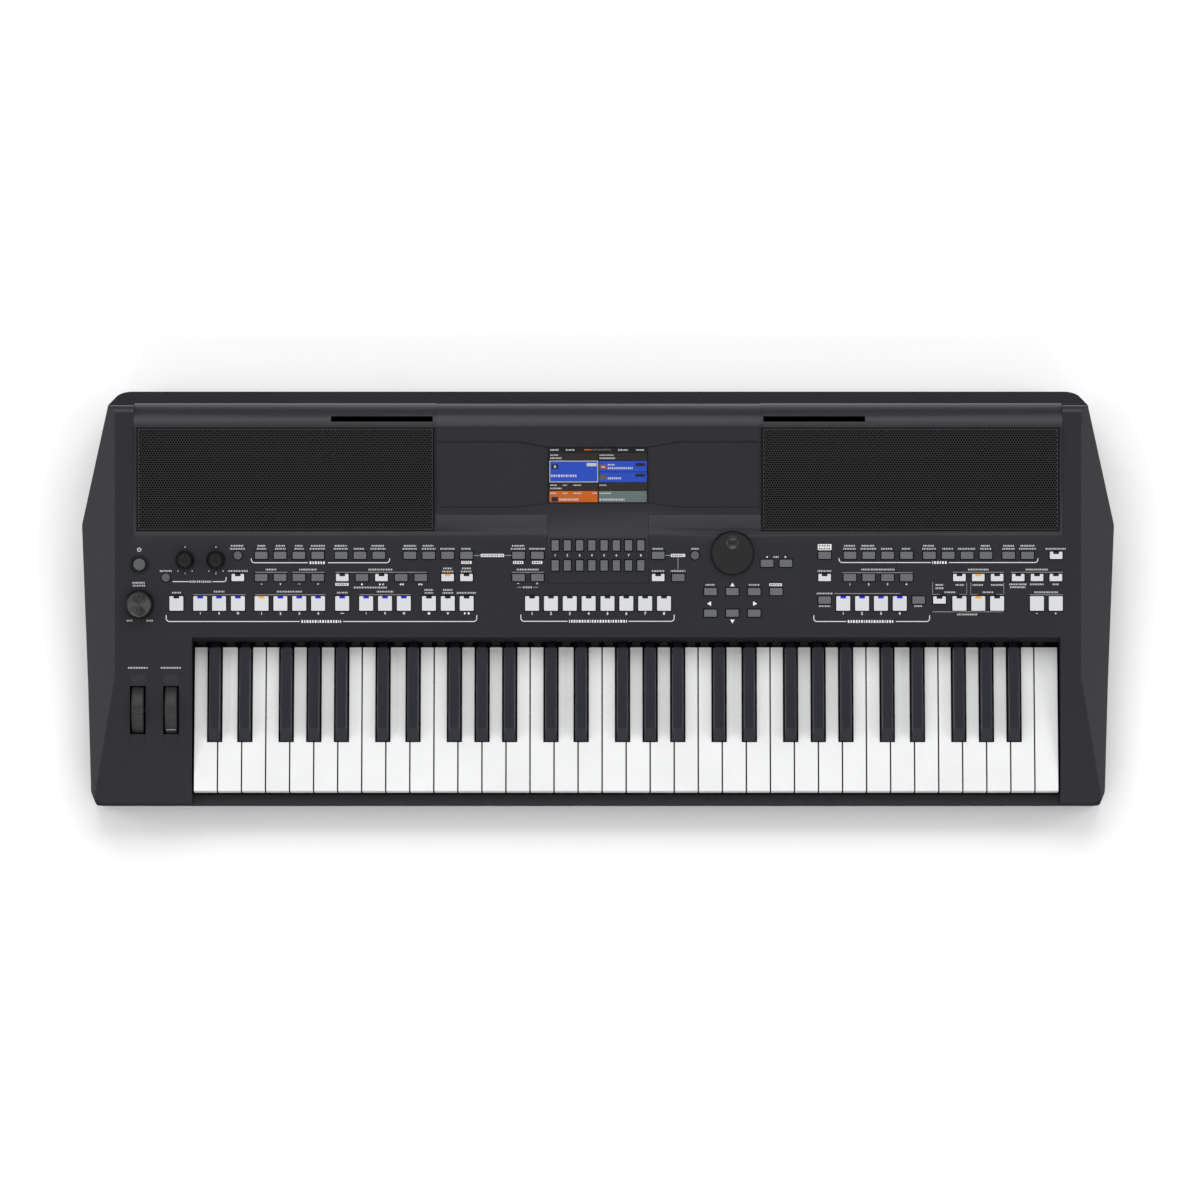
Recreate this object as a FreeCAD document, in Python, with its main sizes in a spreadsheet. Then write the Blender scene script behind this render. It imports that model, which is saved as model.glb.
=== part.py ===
import FreeCAD, Part
import math
import os
import Sketcher

# Arranger keyboard with 61 keys, drawn in millimetres.
# X runs to the player's right, Y to the rear, Z up; the origin is on the table under the middle of the case.

SIZES = [
    ("case_width", 1004), ("case_depth", 410), ("ridge_height", 132.7), ("panel_slope", 11),
    ("wall", 2.6), ("floor", 3), ("foot_height", 8), ("foot_radius", 12),
    ("parting_height", 38), ("front_lean", 5.5), ("rear_wall_top", 41), ("rear_lean", 33),
    ("panel_run", 252.7),
    ("front_taper", 11), ("rear_taper", 35), ("widest_back", 139), ("corner_radius", 14),
    ("crest_half", 468), ("crest_turn", 120), ("crest_flare", 0.173), ("cheek_fall", 1.11),
    ("ridge_radius", 8), ("block_radius", 25), ("block_half", 449.5), ("speaker_raise", 2),
    ("centre_half", 157), ("centre_raise", 5), ("block_start", 97.2), ("speaker_bevel", 5),
    ("centre_ramp", 22.2), ("lip_bottom", 62), ("rail_depth", 10), ("rail_height", 46),
    ("key_pitch", 23.3), ("key_gap", 1.4), ("key_centre", 27.3), ("key_front", 11),
    ("white_top", 63), ("white_length", 141), ("white_depth", 12), ("white_skin", 1.6),
    ("black_rise", 12), ("black_length", 90), ("black_base", 13.5), ("black_crown", 9.5),
    ("black_slope", 11), ("notch_width", 15), ("pivot_back", 217), ("pivot_height", 48),
    ("rod_radius", 2.5), ("rod_clearance", 0.06), ("eye_half", 5.2), ("tail_width", 8),
    ("button_pitch", 18.25), ("small_width", 12.2), ("small_length", 7), ("large_width", 13.4),
    ("large_length", 14.1), ("screen_key_width", 6.9), ("screen_key_length", 10.2),
    ("screen_key_pitch", 11.85), ("round_radius", 4), ("power_radius", 5.7), ("cap_rise", 2),
    ("cap_clearance", 0.8), ("flange", 1.1), ("flange_depth", 1.5), ("seat_gap", 0.3),
    ("row_1", 79.5), ("row_2", 58), ("row_3", 32.9), ("row_3_small", 36.2),
    ("screen_row_1", 89.1), ("screen_row_2", 69.7), ("tab_row", 71.8),
    ("cursor_row_1", 44.4), ("cursor_row_2", 23.5), ("cursor_pitch", 21.2), ("song_pitch", 19),
    ("grille_inner", 158.4), ("grille_outer", 446.7), ("grille_front", 102.8), ("grille_rear", 203.2),
    ("grille_depth", 6), ("grille_sheet", 1.2), ("speaker_hole", 44), ("speaker_flange", 49.5),
    ("speaker_depth", 42), ("magnet_radius", 30), ("display_width", 97), ("display_length", 54.2),
    ("display_middle", 157.2), ("housing_rear", 203.5), ("tongue_front", 52), ("tongue_half", 48.5),
    ("slot_inner", 160), ("slot_outer", 258.6), ("slot_front", 208.9), ("slot_width", 5.3),
    ("wheel_radius", 26), ("wheel_width", 11.8), ("wheel_depth", 15.5), ("wheel_row", 70.4),
    ("pitch_wheel_x", 445.8), ("mod_wheel_x", 413.6), ("wheel_slot_width", 15.4),
    ("wheel_slot_length", 46.8), ("dish_length", 73.4), ("dish_depth", 2.2), ("axle_radius", 3),
    ("volume_x", 444.2), ("volume_row", 31.8), ("volume_radius", 14.4), ("volume_height", 13),
    ("live_x", 399.9), ("live_spacing", 29.9), ("live_row", 74.8), ("live_radius", 9.3),
    ("live_height", 14), ("dial_x", 130.2), ("dial_row", 81.6), ("dial_radius", 20.6),
    ("dial_height", 5), ("dial_gap", 0.7), ("shaft_radius", 3), ("shaft_clearance", 0.05),
    ("board_depth", 9), ("board_thickness", 1.6), ("strip_width", 6), ("jack_height", 23.3),
    ("jack_bay_left", 448), ("jack_bay_right", 180), ("jack_bay_depth", 9), ("jack_bay_height", 21),
    ("jack_bore", 3.3), ("jack_bush", 5.5), ("jack_length", 24), ("boss_radius", 6),
    ("side_screw_inset", 20), ("screw_head", 4.2), ("screw_shank", 1.6), ("frame_floor", 20),
]

doc = FreeCAD.newDocument("arranger_keyboard")
sheet = doc.addObject("Spreadsheet::Sheet", "Sizes")
for row, (alias, value) in enumerate(SIZES, 1):
    sheet.set(f"A{row}", alias)
    sheet.set(f"B{row}", str(value))
    sheet.setAlias(f"B{row}", alias)
doc.recompute()

pieces = []


def size(alias):
    return float(sheet.get(alias))


def s(alias):
    return "Sizes." + alias


# Expressions used by several pieces.
REAR = "Sizes.case_depth / 2"
FRONT = "(-Sizes.case_depth / 2)"
RIDGE_Y = "(Sizes.case_depth / 2 - Sizes.rear_lean)"
LIP_Y = "(Sizes.case_depth / 2 - Sizes.panel_run)"
LIP_Z = "(Sizes.ridge_height - (Sizes.panel_run - Sizes.rear_lean) * tan(Sizes.panel_slope))"
KEY_LEFT = "(Sizes.key_centre - 18 * Sizes.key_pitch)"
KEY_RIGHT = "(Sizes.key_centre + 18 * Sizes.key_pitch)"
KEY_FRONT = "(Sizes.key_front - Sizes.case_depth / 2)"
PIVOT_Y = "(Sizes.pivot_back - Sizes.case_depth / 2)"


def panel_z(y, drop="0"):
    """Height of the sloping panel plane over a given Y, less a drop."""
    return f"(Sizes.ridge_height - ({RIDGE_Y} - ({y})) * tan(Sizes.panel_slope) - ({drop}))"


def bind(thing, **rules):
    for name, rule in rules.items():
        thing.setExpression(name.replace("__", "."), rule)


def origin_plane(body, role):
    return [item for item in body.Origin.OriginFeatures if item.Role == role][0]


def new_body(name):
    body = doc.addObject("PartDesign::Body", name)
    body.Label = name
    return body


def place_on_panel(thing, name="Placement", lift="0"):
    """Turns the object's own XY plane into the panel plane, X across and Y up the slope."""
    setattr(thing, name, FreeCAD.Placement(FreeCAD.Vector(), FreeCAD.Rotation(FreeCAD.Vector(1, 0, 0), 10)))
    thing.setExpression(name + ".Base.y", f"{LIP_Y} - ({lift}) * sin(Sizes.panel_slope)")
    thing.setExpression(name + ".Base.z", f"{LIP_Z} + ({lift}) * cos(Sizes.panel_slope)")
    thing.setExpression(name + ".Rotation.Angle", "Sizes.panel_slope")


def flat_sketch(body, name, role="XY_Plane", lift="0"):
    sketch = body.newObject("Sketcher::SketchObject", name)
    sketch.AttachmentSupport = [(origin_plane(body, role), "")]
    sketch.MapMode = "FlatFace"
    sketch.setExpression("AttachmentOffset.Base.z", lift)
    return sketch


def panel_sketch(body, name, lift="0"):
    sketch = body.newObject("Sketcher::SketchObject", name)
    sketch.AttachmentSupport = [(origin_plane(body, "XY_Plane"), "")]
    sketch.MapMode = "FlatFace"
    place_on_panel(sketch, "AttachmentOffset", lift)
    return sketch


def corner_box(left, right, low, high):
    return [(left, low), (right, low), (right, high), (left, high)]


def draw(sketch, loops=(), rings=()):
    """Closed straight loops and circles; every coordinate and radius is a sheet expression."""
    lines = []
    ties = []
    rules = []
    for corners in loops:
        first = len(lines)
        count = len(corners)
        seeds = []
        for index in range(count):
            turn = 2 * math.pi * index / count
            seeds.append(FreeCAD.Vector(100 * math.cos(turn) + 3, 100 * math.sin(turn) + 5, 0))
        for index, (across, along) in enumerate(corners):
            following = (index + 1) % count
            lines.append(Part.LineSegment(seeds[index], seeds[following]))
            ties.append(Sketcher.Constraint("Coincident", first + index, 2, first + following, 1))
            rules.append((Sketcher.Constraint("DistanceX", first + index, 1, seeds[index].x), across))
            rules.append((Sketcher.Constraint("DistanceY", first + index, 1, seeds[index].y), along))
    for across, along, radius in rings:
        number = len(lines)
        lines.append(Part.Circle(FreeCAD.Vector(5, 7, 0), FreeCAD.Vector(0, 0, 1), 3))
        rules.append((Sketcher.Constraint("DistanceX", number, 3, 5.0), across))
        rules.append((Sketcher.Constraint("DistanceY", number, 3, 7.0), along))
        rules.append((Sketcher.Constraint("Radius", number, 3.0), radius))
    sketch.addGeometry(lines, False)
    sketch.addConstraint(ties + [constraint for constraint, rule in rules])
    for index, (constraint, rule) in enumerate(rules, len(ties)):
        sketch.setExpression(f"Constraints[{index}]", rule)


def outline(sketch, corners):
    draw(sketch, [corners])


def box_outline(sketch, left, right, low, high):
    draw(sketch, [corner_box(left, right, low, high)])


def ring_outline(sketch, across, along, radius):
    draw(sketch, rings=[(across, along, radius)])


def pad(body, sketch, length, middle=False, back=False):
    feature = body.newObject("PartDesign::Pad", sketch.Name + "_pad")
    feature.Profile = sketch
    feature.setExpression("Length", length)
    feature.Midplane = middle
    feature.Reversed = back
    sketch.Visibility = False
    return feature


def pocket(body, sketch, length, middle=False, back=False):
    feature = body.newObject("PartDesign::Pocket", sketch.Name + "_pocket")
    feature.Profile = sketch
    feature.setExpression("Length", length)
    feature.Midplane = middle
    feature.Reversed = back
    return feature


def round_edges(body, base, radius, wanted):
    """Fillet on the edges of a feature that a test picks out."""
    doc.recompute()
    names = [f"Edge{number}" for number, edge in enumerate(base.Shape.Edges, 1) if wanted(edge)]
    feature = body.newObject("PartDesign::Fillet", base.Name + "_round")
    feature.Base = (base, names)
    feature.setExpression("Radius", radius)
    doc.recompute()
    return feature


def upright(edge):
    run = edge.valueAt(edge.LastParameter) - edge.valueAt(edge.FirstParameter)
    return edge.Curve.TypeId == "Part::GeomLine" and abs(run.z) > 0.99 * edge.Length


def boolean(kind, name, base, tool):
    feature = doc.addObject("Part::" + kind, name)
    feature.Base = base
    feature.Tool = tool
    feature.Refine = True
    return feature


def fuse_all(name, things):
    feature = doc.addObject("Part::MultiFuse", name)
    feature.Shapes = things
    feature.Refine = True
    return feature


def keep(thing, label):
    thing.Label = label
    pieces.append(thing)
    return thing


# Case form: the plan outline raised, then cut along the panel slope and the leaning rear face.
def plan_corners(inset):
    half = f"(Sizes.case_width / 2 - ({inset}))"
    front = f"({FRONT} + ({inset}))"
    rear = f"({REAR} - ({inset}))"
    widest = f"({REAR} - Sizes.widest_back)"
    side = [(f"({half} - Sizes.front_taper)", front), (half, widest), (f"({half} - Sizes.rear_taper)", rear)]
    return side + [(f"-({across})", along) for across, along in reversed(side)]


def case_form(name, inset):
    body = new_body(name)
    plan = flat_sketch(body, name + "_plan", "XY_Plane", "Sizes.parting_height")
    outline(plan, plan_corners(inset))
    block = pad(body, plan, "Sizes.ridge_height + 20 - Sizes.parting_height")
    round_edges(body, block, f"Sizes.corner_radius - ({inset})", upright)
    sky = flat_sketch(body, name + "_sky", "YZ_Plane")
    drop = f"({inset}) / cos(Sizes.panel_slope)"
    knee = f"{RIDGE_Y} - 6 * ({inset})"
    brow = f"(Sizes.ridge_height - 10 * ({inset}))"
    lean = f"({REAR} - ({inset}) * 1.1)"
    rear_rise = "(Sizes.ridge_height - Sizes.rear_wall_top)"
    on_rear = f"({lean} - Sizes.rear_lean * ({brow} - Sizes.rear_wall_top) / {rear_rise})"
    skyline = [(f"{FRONT} - 10", panel_z(f"{FRONT} - 10", drop)), (knee, panel_z(knee, drop))]
    if inset != "0":
        skyline.append((on_rear, brow))
    skyline += [(lean, s("rear_wall_top")), (f"{REAR} + 10", s("rear_wall_top"))]
    skyline += [(f"{REAR} + 10", "Sizes.ridge_height + 60"), (f"{FRONT} - 10", "Sizes.ridge_height + 60")]
    outline(sky, skyline)
    pocket(body, sky, "Sizes.case_width + 20", middle=True)
    doc.recompute()
    return body


def cheek_tool(name, inset):
    """Everything outside the crest line, above a facet that falls away to the side wall."""
    turn = f"({FRONT} + Sizes.crest_turn)"
    sketch = doc.addObject("Sketcher::SketchObject", name + "_section")
    sketch.Placement = FreeCAD.Placement(FreeCAD.Vector(), FreeCAD.Rotation(FreeCAD.Vector(1, 0, 0), 90))
    bind(sketch, Placement__Base__y=turn)
    crest = s("crest_half")
    top = panel_z(turn, f"({inset}) * 1.6")
    outline(sketch, [(crest, top), (f"{crest} + 70", f"{top} - 70 * Sizes.cheek_fall"),
                     (f"{crest} + 70", f"{top} + 40"), (crest, f"{top} + 40")])
    runs = {"rear": ("0", "(Sizes.case_depth - Sizes.crest_turn + 10)", "1"),
            "front": (s("crest_flare"), "(Sizes.crest_turn + 10)", "-1")}
    lengths = []
    for end, (flare, run, way) in runs.items():
        piece = doc.addObject("Part::Extrusion", f"{name}_{end}")
        piece.Base = sketch
        piece.DirMode = "Custom"
        piece.Solid = True
        piece.setExpression("Dir.x", f"{flare} * {run}")
        piece.setExpression("Dir.y", f"{way} * {run}")
        piece.setExpression("Dir.z", f"{way} * {run} * tan(Sizes.panel_slope)")
        lengths.append(piece)
    one_side = fuse_all(name + "_one_side", lengths)
    other = doc.addObject("Part::Mirroring", name + "_other_side")
    other.Source = one_side
    other.Normal = (1, 0, 0)
    return fuse_all(name + "_pair", [one_side, other])


def raised_block(name, half, rise, ramp):
    """Speaker or display block standing on the panel plane, with a broad rounded ridge."""
    body = new_body(name)
    sketch = flat_sketch(body, name + "_profile", "YZ_Plane")
    foot = f"({LIP_Y} + Sizes.block_start * cos(Sizes.panel_slope))"
    brow = f"({foot} + {ramp} * cos(Sizes.panel_slope))"
    lift = f"-({rise}) / cos(Sizes.panel_slope)"
    fall = "(Sizes.rear_lean / (Sizes.ridge_height - Sizes.rear_wall_top))"
    grade = "tan(Sizes.panel_slope)"
    crown_y = f"({RIDGE_Y} + ({lift}) * {fall} / (1 + {fall} * {grade}))"
    outline(sketch, [(foot, s("parting_height")), (foot, panel_z(foot)), (brow, panel_z(brow, lift)),
                     (crown_y, panel_z(crown_y, lift)), (REAR, s("rear_wall_top")),
                     (REAR, s("parting_height"))])
    block = pad(body, sketch, f"2 * ({half})", middle=True)
    doc.recompute()
    top = max(vertex.Z for vertex in block.Shape.Vertexes)
    round_edges(body, block, s("block_radius"),
                lambda edge: all(abs(vertex.Z - top) < 0.01 for vertex in edge.Vertexes))
    return body


outer = case_form("case_outside", "0")
ridge_z = size("ridge_height")
round_edges(outer, outer.Tip, s("ridge_radius"),
            lambda edge: all(abs(vertex.Z - ridge_z) < 0.01 for vertex in edge.Vertexes))
inner = case_form("case_inside", s("wall"))
outer_faceted = boolean("Cut", "case_faceted", outer, cheek_tool("cheek_cut", "0"))
cavity = boolean("Cut", "case_cavity", inner, cheek_tool("cheek_cut_inside", s("wall")))

block_space = doc.addObject("Part::Box", "block_space")
bind(block_space, Length="2 * Sizes.block_half", Width="Sizes.case_depth", Height="300",
     Placement__Base__x="-Sizes.block_half",
     Placement__Base__y=f"{LIP_Y} + Sizes.block_start * cos(Sizes.panel_slope)")
ends = boolean("Cut", "case_ends", outer_faceted, block_space)
speaker_block = raised_block("speaker_block", s("block_half"), s("speaker_raise"), s("speaker_bevel"))
centre_block = raised_block("centre_block", s("centre_half"), s("centre_raise"), s("centre_ramp"))
solid_case = fuse_all("case_solid", [ends, speaker_block, centre_block])


def panel_box(name, left, right, low, high, bottom, top):
    """Box laid on the panel plane: across, up the slope and along the panel normal."""
    box = doc.addObject("Part::Box", name)
    place_on_panel(box, "Placement", bottom)
    bind(box, Length=f"({right}) - ({left})", Width=f"({high}) - ({low})", Height=f"({top}) - ({bottom})",
         Placement__Base__x=left,
         Placement__Base__y=f"{LIP_Y} - ({bottom}) * sin(Sizes.panel_slope) + ({low}) * cos(Sizes.panel_slope)",
         Placement__Base__z=f"{LIP_Z} + ({bottom}) * cos(Sizes.panel_slope) + ({low}) * sin(Sizes.panel_slope)")
    return box


def plain_box(name, left, right, front, rear, low, high):
    box = doc.addObject("Part::Box", name)
    bind(box, Length=f"({right}) - ({left})", Width=f"({rear}) - ({front})", Height=f"({high}) - ({low})",
         Placement__Base__x=left, Placement__Base__y=front, Placement__Base__z=low)
    return box


def post(name, across, along, low, high, radius):
    cylinder = doc.addObject("Part::Cylinder", name)
    bind(cylinder, Radius=radius, Height=f"({high}) - ({low})", Placement__Base__x=across,
         Placement__Base__y=along, Placement__Base__z=low)
    return cylinder


# Screws that close the case from below: three along each side and three along the rear.
SCREWS = []
for side in ("-1", "1"):
    for along in (-150, -20, 110):
        SCREWS.append((f"{side} * (Sizes.case_width / 2 - Sizes.side_screw_inset)", str(along)))
for across in ("-150", "0", "150"):
    SCREWS.append((across, f"{REAR} - 17"))

# Panel buttons in runs of equal caps: row, middle of the first cap, count.
RUNS = {
    "style_buttons": ("small", [("row_1", -326.1, 4), ("row_1", -248.7, 3)]),
    "song_mixer_buttons": ("small", [("row_1", -182.1, 4), ("row_1", -76.9, 2)]),
    "tempo_bank_buttons": ("small", [("row_2", -326.1, 4), ("row_2", -76.9, 2)]),
    "song_transport_buttons": ("small", [("row_2", -247.6, 5)]),
    "style_control_buttons": ("large", [("row_3", -408.3, 1), ("row_3", -385.2, 3), ("row_3", -325.8, 4),
                                        ("row_3", -247.7, 1), ("row_3", -224.5, 3), ("row_3", -163.7, 3)]),
    "registration_buttons": ("large", [("row_3", -63.8, 8)]),
    "voice_buttons": ("small", [("row_1", 244.0, 4), ("row_1", 320.9, 4), ("row_1", 397.7, 2)]),
    "one_touch_buttons": ("small", [("row_2", 243.9, 4), ("row_3_small", 219.5, 1), ("row_3_small", 310.5,
                                                                                     1)]),
    "multi_pad_buttons": ("large", [("row_3", 237.5, 4)]),
    "part_switch_buttons": ("large", [("row_3", 350.0, 3), ("row_3", 425.1, 2)]),
    "lamp_buttons": ("small", [("row_2", -348.8, 1), ("row_2", -145.6, 2), ("row_2", 58.3, 1), ("row_1",
                                                                                                443.6, 1),
                               ("row_2", 219.5, 1), ("row_2", 350.0, 3), ("row_2", 406.9, 3),
                               ("row_3_small", 330.7, 1)]),
    "navigation_buttons": ("small", [("row_1", 58.3, 1), ("row_2", 77.8, 1), ("row_1", 219.5, 1),
                                     ("tab_row", 163.7, 2), ("cursor_row_1", 108.9, 4),
                                     ("cursor_row_2", 108.9, 3)]),
}
RUN_PITCH = {"song_transport_buttons": "song_pitch", "cursor_row_1": "cursor_pitch",
             "cursor_row_2": "cursor_pitch"}


def grown(spots, grow):
    """Rectangles and circles of the button spots, larger by a margin all round."""
    rectangles = []
    rings = []
    for across, along, *half in spots:
        if len(half) == 1:
            rings.append((across, along, f"{half[0]} + {grow}"))
        else:
            rectangles.append((f"{across} - {half[0]} - ({grow})", f"{across} + {half[0]} + ({grow})",
                               f"{along} - {half[1]} - ({grow})", f"{along} + {half[1]} + ({grow})"))
    return rectangles, rings


button_spots = {}
for name, (kind, runs) in RUNS.items():
    spots = []
    for row, start, count in runs:
        pitch = s(RUN_PITCH.get(name, RUN_PITCH.get(row, "button_pitch")))
        for number in range(count):
            spots.append((f"({start} + {number} * {pitch})", s(row), f"Sizes.{kind}_width / 2",
                          f"Sizes.{kind}_length / 2"))
    button_spots[name] = spots
button_spots["round_buttons"] = [("-348.8", s("row_1"), s("round_radius")),
                                 ("-418.5", s("row_2"), s("round_radius")),
                                 ("93.9", s("row_1"), s("round_radius"))]
button_spots["power_button"] = [("-Sizes.volume_x", "70.7", s("power_radius"))]

# Upper case: shell, walls of the key well, front rail, speaker baffles and screw bosses.
WELL_LEFT = f"({KEY_LEFT} - 1.4)"
WELL_RIGHT = f"({KEY_RIGHT} + 1.4)"
RAIL_REAR = f"({FRONT} + Sizes.rail_depth)"
LIP_REAR = f"({LIP_Y} + Sizes.wall)"
shell = boolean("Cut", "case_shell", solid_case, cavity)
well = plain_box("key_well", WELL_LEFT, WELL_RIGHT, RAIL_REAR, LIP_Y, "0", "300")
over_rail = plain_box("over_rail", WELL_LEFT, WELL_RIGHT, f"{FRONT} - 5", f"{RAIL_REAR} + 1",
                      s("rail_height"), "300")
open_shell = boolean("Cut", "case_open", shell, fuse_all("well_cut", [well, over_rail]))
added = [
    plain_box("lip_wall", f"{WELL_LEFT} - Sizes.wall", f"{WELL_RIGHT} + Sizes.wall", LIP_Y, LIP_REAR,
              s("lip_bottom"), "300"),
    plain_box("left_well_wall", f"{WELL_LEFT} - Sizes.wall", WELL_LEFT, FRONT, LIP_REAR, s("parting_height"),
              "300"),
    plain_box("right_well_wall", WELL_RIGHT, f"{WELL_RIGHT} + Sizes.wall", FRONT, LIP_REAR,
              s("parting_height"), "300"),
    plain_box("front_rail", f"{WELL_LEFT} - 1", f"{WELL_RIGHT} + 1", FRONT, RAIL_REAR, s("parting_height"),
              s("rail_height")),
]
for number, (across, along) in enumerate(SCREWS):
    added.append(post(f"upper_boss_{number}", across, along, s("parting_height"), "300", s("boss_radius")))
trimmed = boolean("Common", "case_added", fuse_all("case_additions", added), solid_case)
BAFFLE = "(Sizes.speaker_raise - Sizes.grille_depth - Sizes.seat_gap)"
pans = []
for side, left, right in (("left", "-Sizes.grille_outer", "-Sizes.grille_inner"),
                          ("right", s("grille_inner"), s("grille_outer"))):
    pans.append(panel_box("baffle_" + side, f"{left} - Sizes.wall", f"{right} + Sizes.wall",
                          "Sizes.grille_front - Sizes.wall", "Sizes.grille_rear + Sizes.wall",
                          f"{BAFFLE} - Sizes.wall", "-0.5"))
board_posts = []
for low, places in ((18, (-452, -300, -118, -80, 0, 90, 195, 216, 330, 450)),
                    (90, (-452, -300, -118, -80, 195, 216, 330, 450))):
    for across in places:
        board_posts.append(panel_box(f"board_post_{low}_{len(board_posts)}", f"{across} - 2.5",
                                     f"{across} + 2.5",
                                     f"{low} - 2.5", f"{low} + 2.5", "-Sizes.board_depth", "-1"))
built = fuse_all("case_built", [open_shell, trimmed] + pans + board_posts)
dishes = []
DISH_RADIUS = "((Sizes.dish_length ^ 2 / 4 + Sizes.dish_depth ^ 2) / (2 * Sizes.dish_depth))"
for name in ("pitch_wheel", "mod_wheel"):
    dish = doc.addObject("Part::Cylinder", name + "_dish")
    dish.Placement = FreeCAD.Placement(FreeCAD.Vector(), FreeCAD.Rotation(FreeCAD.Vector(0, 1, 0), 90))
    rise = f"({DISH_RADIUS} - Sizes.dish_depth)"
    bind(dish, Radius=DISH_RADIUS, Height=s("wheel_slot_width"),
         Placement__Base__x=f"-Sizes.{name}_x - Sizes.wheel_slot_width / 2",
         Placement__Base__y=f"{LIP_Y} - Sizes.wheel_row * cos(Sizes.panel_slope) - {rise} * sin(Sizes.panel_slope)",
         Placement__Base__z=f"{LIP_Z} - Sizes.wheel_row * sin(Sizes.panel_slope) + {rise} * cos(Sizes.panel_slope)")
    dishes.append(dish)
pilots = []
for number, (across, along) in enumerate(SCREWS):
    pilots.append(post(f"pilot_{number}", across, along, "Sizes.parting_height - 1",
                       "Sizes.parting_height + 14",
                       "Sizes.screw_shank + 0.1"))
rail_hollow = plain_box("rail_hollow", WELL_LEFT, WELL_RIGHT, f"{FRONT} + Sizes.wall",
                        f"{RAIL_REAR} - Sizes.wall",
                        "Sizes.parting_height - 1", "Sizes.rail_height - Sizes.wall")
drilled = boolean("Cut", "case_drilled", built, fuse_all("case_cuts", dishes + pilots + [rail_hollow]))
hole_tools = []
for name, spots in button_spots.items():
    sketch = doc.addObject("Sketcher::SketchObject", name + "_holes")
    place_on_panel(sketch, lift="6")
    rectangles, rings = grown(spots, s("cap_clearance"))
    draw(sketch, [corner_box(*rectangle) for rectangle in rectangles], rings)
    tool = doc.addObject("Part::Extrusion", name + "_hole_tool")
    tool.Base = sketch
    tool.DirMode = "Normal"
    tool.Solid = True
    tool.Reversed = True
    bind(tool, LengthFwd="18")
    hole_tools.append(tool)
all_holes = doc.addObject("Part::Compound", "button_holes")
all_holes.Links = hole_tools
pierced = boolean("Cut", "case_pierced", drilled, all_holes)
doc.recompute()

upper_case = new_body("upper_case")
upper_case.BaseFeature = pierced
doc.recompute()


def panel_cut(name, rectangles=(), rings=(), top="20", bottom="-12"):
    """Pocket through the panel skin along its normal."""
    sketch = panel_sketch(upper_case, name, top)
    draw(sketch, [corner_box(*rectangle) for rectangle in rectangles], rings)
    cut = pocket(upper_case, sketch, f"({top}) - ({bottom})")
    cut.Refine = False
    return cut


def sides(inner_edge, outer_edge, low, high):
    """The same rectangle on the left and on the right of the middle."""
    return [(f"-({outer_edge})", f"-({inner_edge})", low, high), (inner_edge, outer_edge, low, high)]


GRILLE_X = "((Sizes.grille_inner + Sizes.grille_outer) / 2)"
GRILLE_W = "((Sizes.grille_front + Sizes.grille_rear) / 2)"
PLATE_FRONT = "(Sizes.block_start + Sizes.centre_ramp)"
PLATE_BOTTOM = "(Sizes.centre_raise - 3)"
panel_cut("grille_recess", sides(s("grille_inner"), s("grille_outer"), s("grille_front"), s("grille_rear")),
          bottom=BAFFLE)
panel_cut("speaker_openings", rings=[(f"-{GRILLE_X}", GRILLE_W, s("speaker_hole")),
                                     (GRILLE_X, GRILLE_W, s("speaker_hole"))])
panel_cut("housing_seat", [("-Sizes.centre_half + 0.2", "Sizes.centre_half - 0.2", f"{PLATE_FRONT} - 0.3",
                            "Sizes.housing_rear + 0.3")], bottom=f"{PLATE_BOTTOM} - 0.3")
panel_cut("tongue_opening", [("-Sizes.tongue_half - 0.3", "Sizes.tongue_half + 0.3",
                              "Sizes.tongue_front - 0.3",
                              f"{PLATE_FRONT} + 0.3")])
panel_cut("display_opening", [("-Sizes.display_width / 2 - 14", "Sizes.display_width / 2 + 14",
                               "Sizes.display_middle - Sizes.display_length / 2 - 8",
                               "Sizes.display_middle + Sizes.display_length / 2 + 14")])
panel_cut("music_rest_slots", sides(s("slot_inner"), s("slot_outer"), s("slot_front"),
                                    "Sizes.slot_front + Sizes.slot_width"))
slot_half = "Sizes.wheel_slot_width / 2"
panel_cut("wheel_slots", [(f"-Sizes.{name} - {slot_half}", f"-Sizes.{name} + {slot_half}",
                           "-Sizes.wheel_row - Sizes.wheel_slot_length / 2",
                           "-Sizes.wheel_row + Sizes.wheel_slot_length / 2")
                          for name in ("pitch_wheel_x", "mod_wheel_x")])
panel_cut("knob_holes", rings=[
    ("-Sizes.volume_x", s("volume_row"), "Sizes.shaft_radius + 1"),
    ("-Sizes.live_x", s("live_row"), "Sizes.shaft_radius + 1"),
    ("-Sizes.live_x + Sizes.live_spacing", s("live_row"), "Sizes.shaft_radius + 1"),
    (s("dial_x"), s("dial_row"), "Sizes.dial_radius + Sizes.dial_gap")])
keep(upper_case, "upper_case")

# Lower case: tray with ribs under the key frame, posts for the boards, screw bosses and the jack bay window.
def tray(name, inset, low, high):
    """Plan outline raised between two heights, with a front that leans in towards the floor."""
    body = new_body(name)
    plan = flat_sketch(body, name + "_plan", "XY_Plane", low)
    outline(plan, plan_corners(inset))
    block = pad(body, plan, f"({high}) - ({low})")
    round_edges(body, block, f"Sizes.corner_radius - ({inset})", upright)
    lean = "Sizes.front_lean / (Sizes.parting_height - Sizes.foot_height)"
    corners = []
    for height in (low, high):
        corners.append((f"{FRONT} + ({inset}) + (Sizes.parting_height - ({height})) * {lean}", height))
    front = flat_sketch(body, name + "_front", "YZ_Plane")
    outline(front, [(f"{FRONT} - 9", low)] + corners + [(f"{FRONT} - 9", high)])
    pocket(body, front, "Sizes.case_width + 20", middle=True)
    return body


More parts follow.
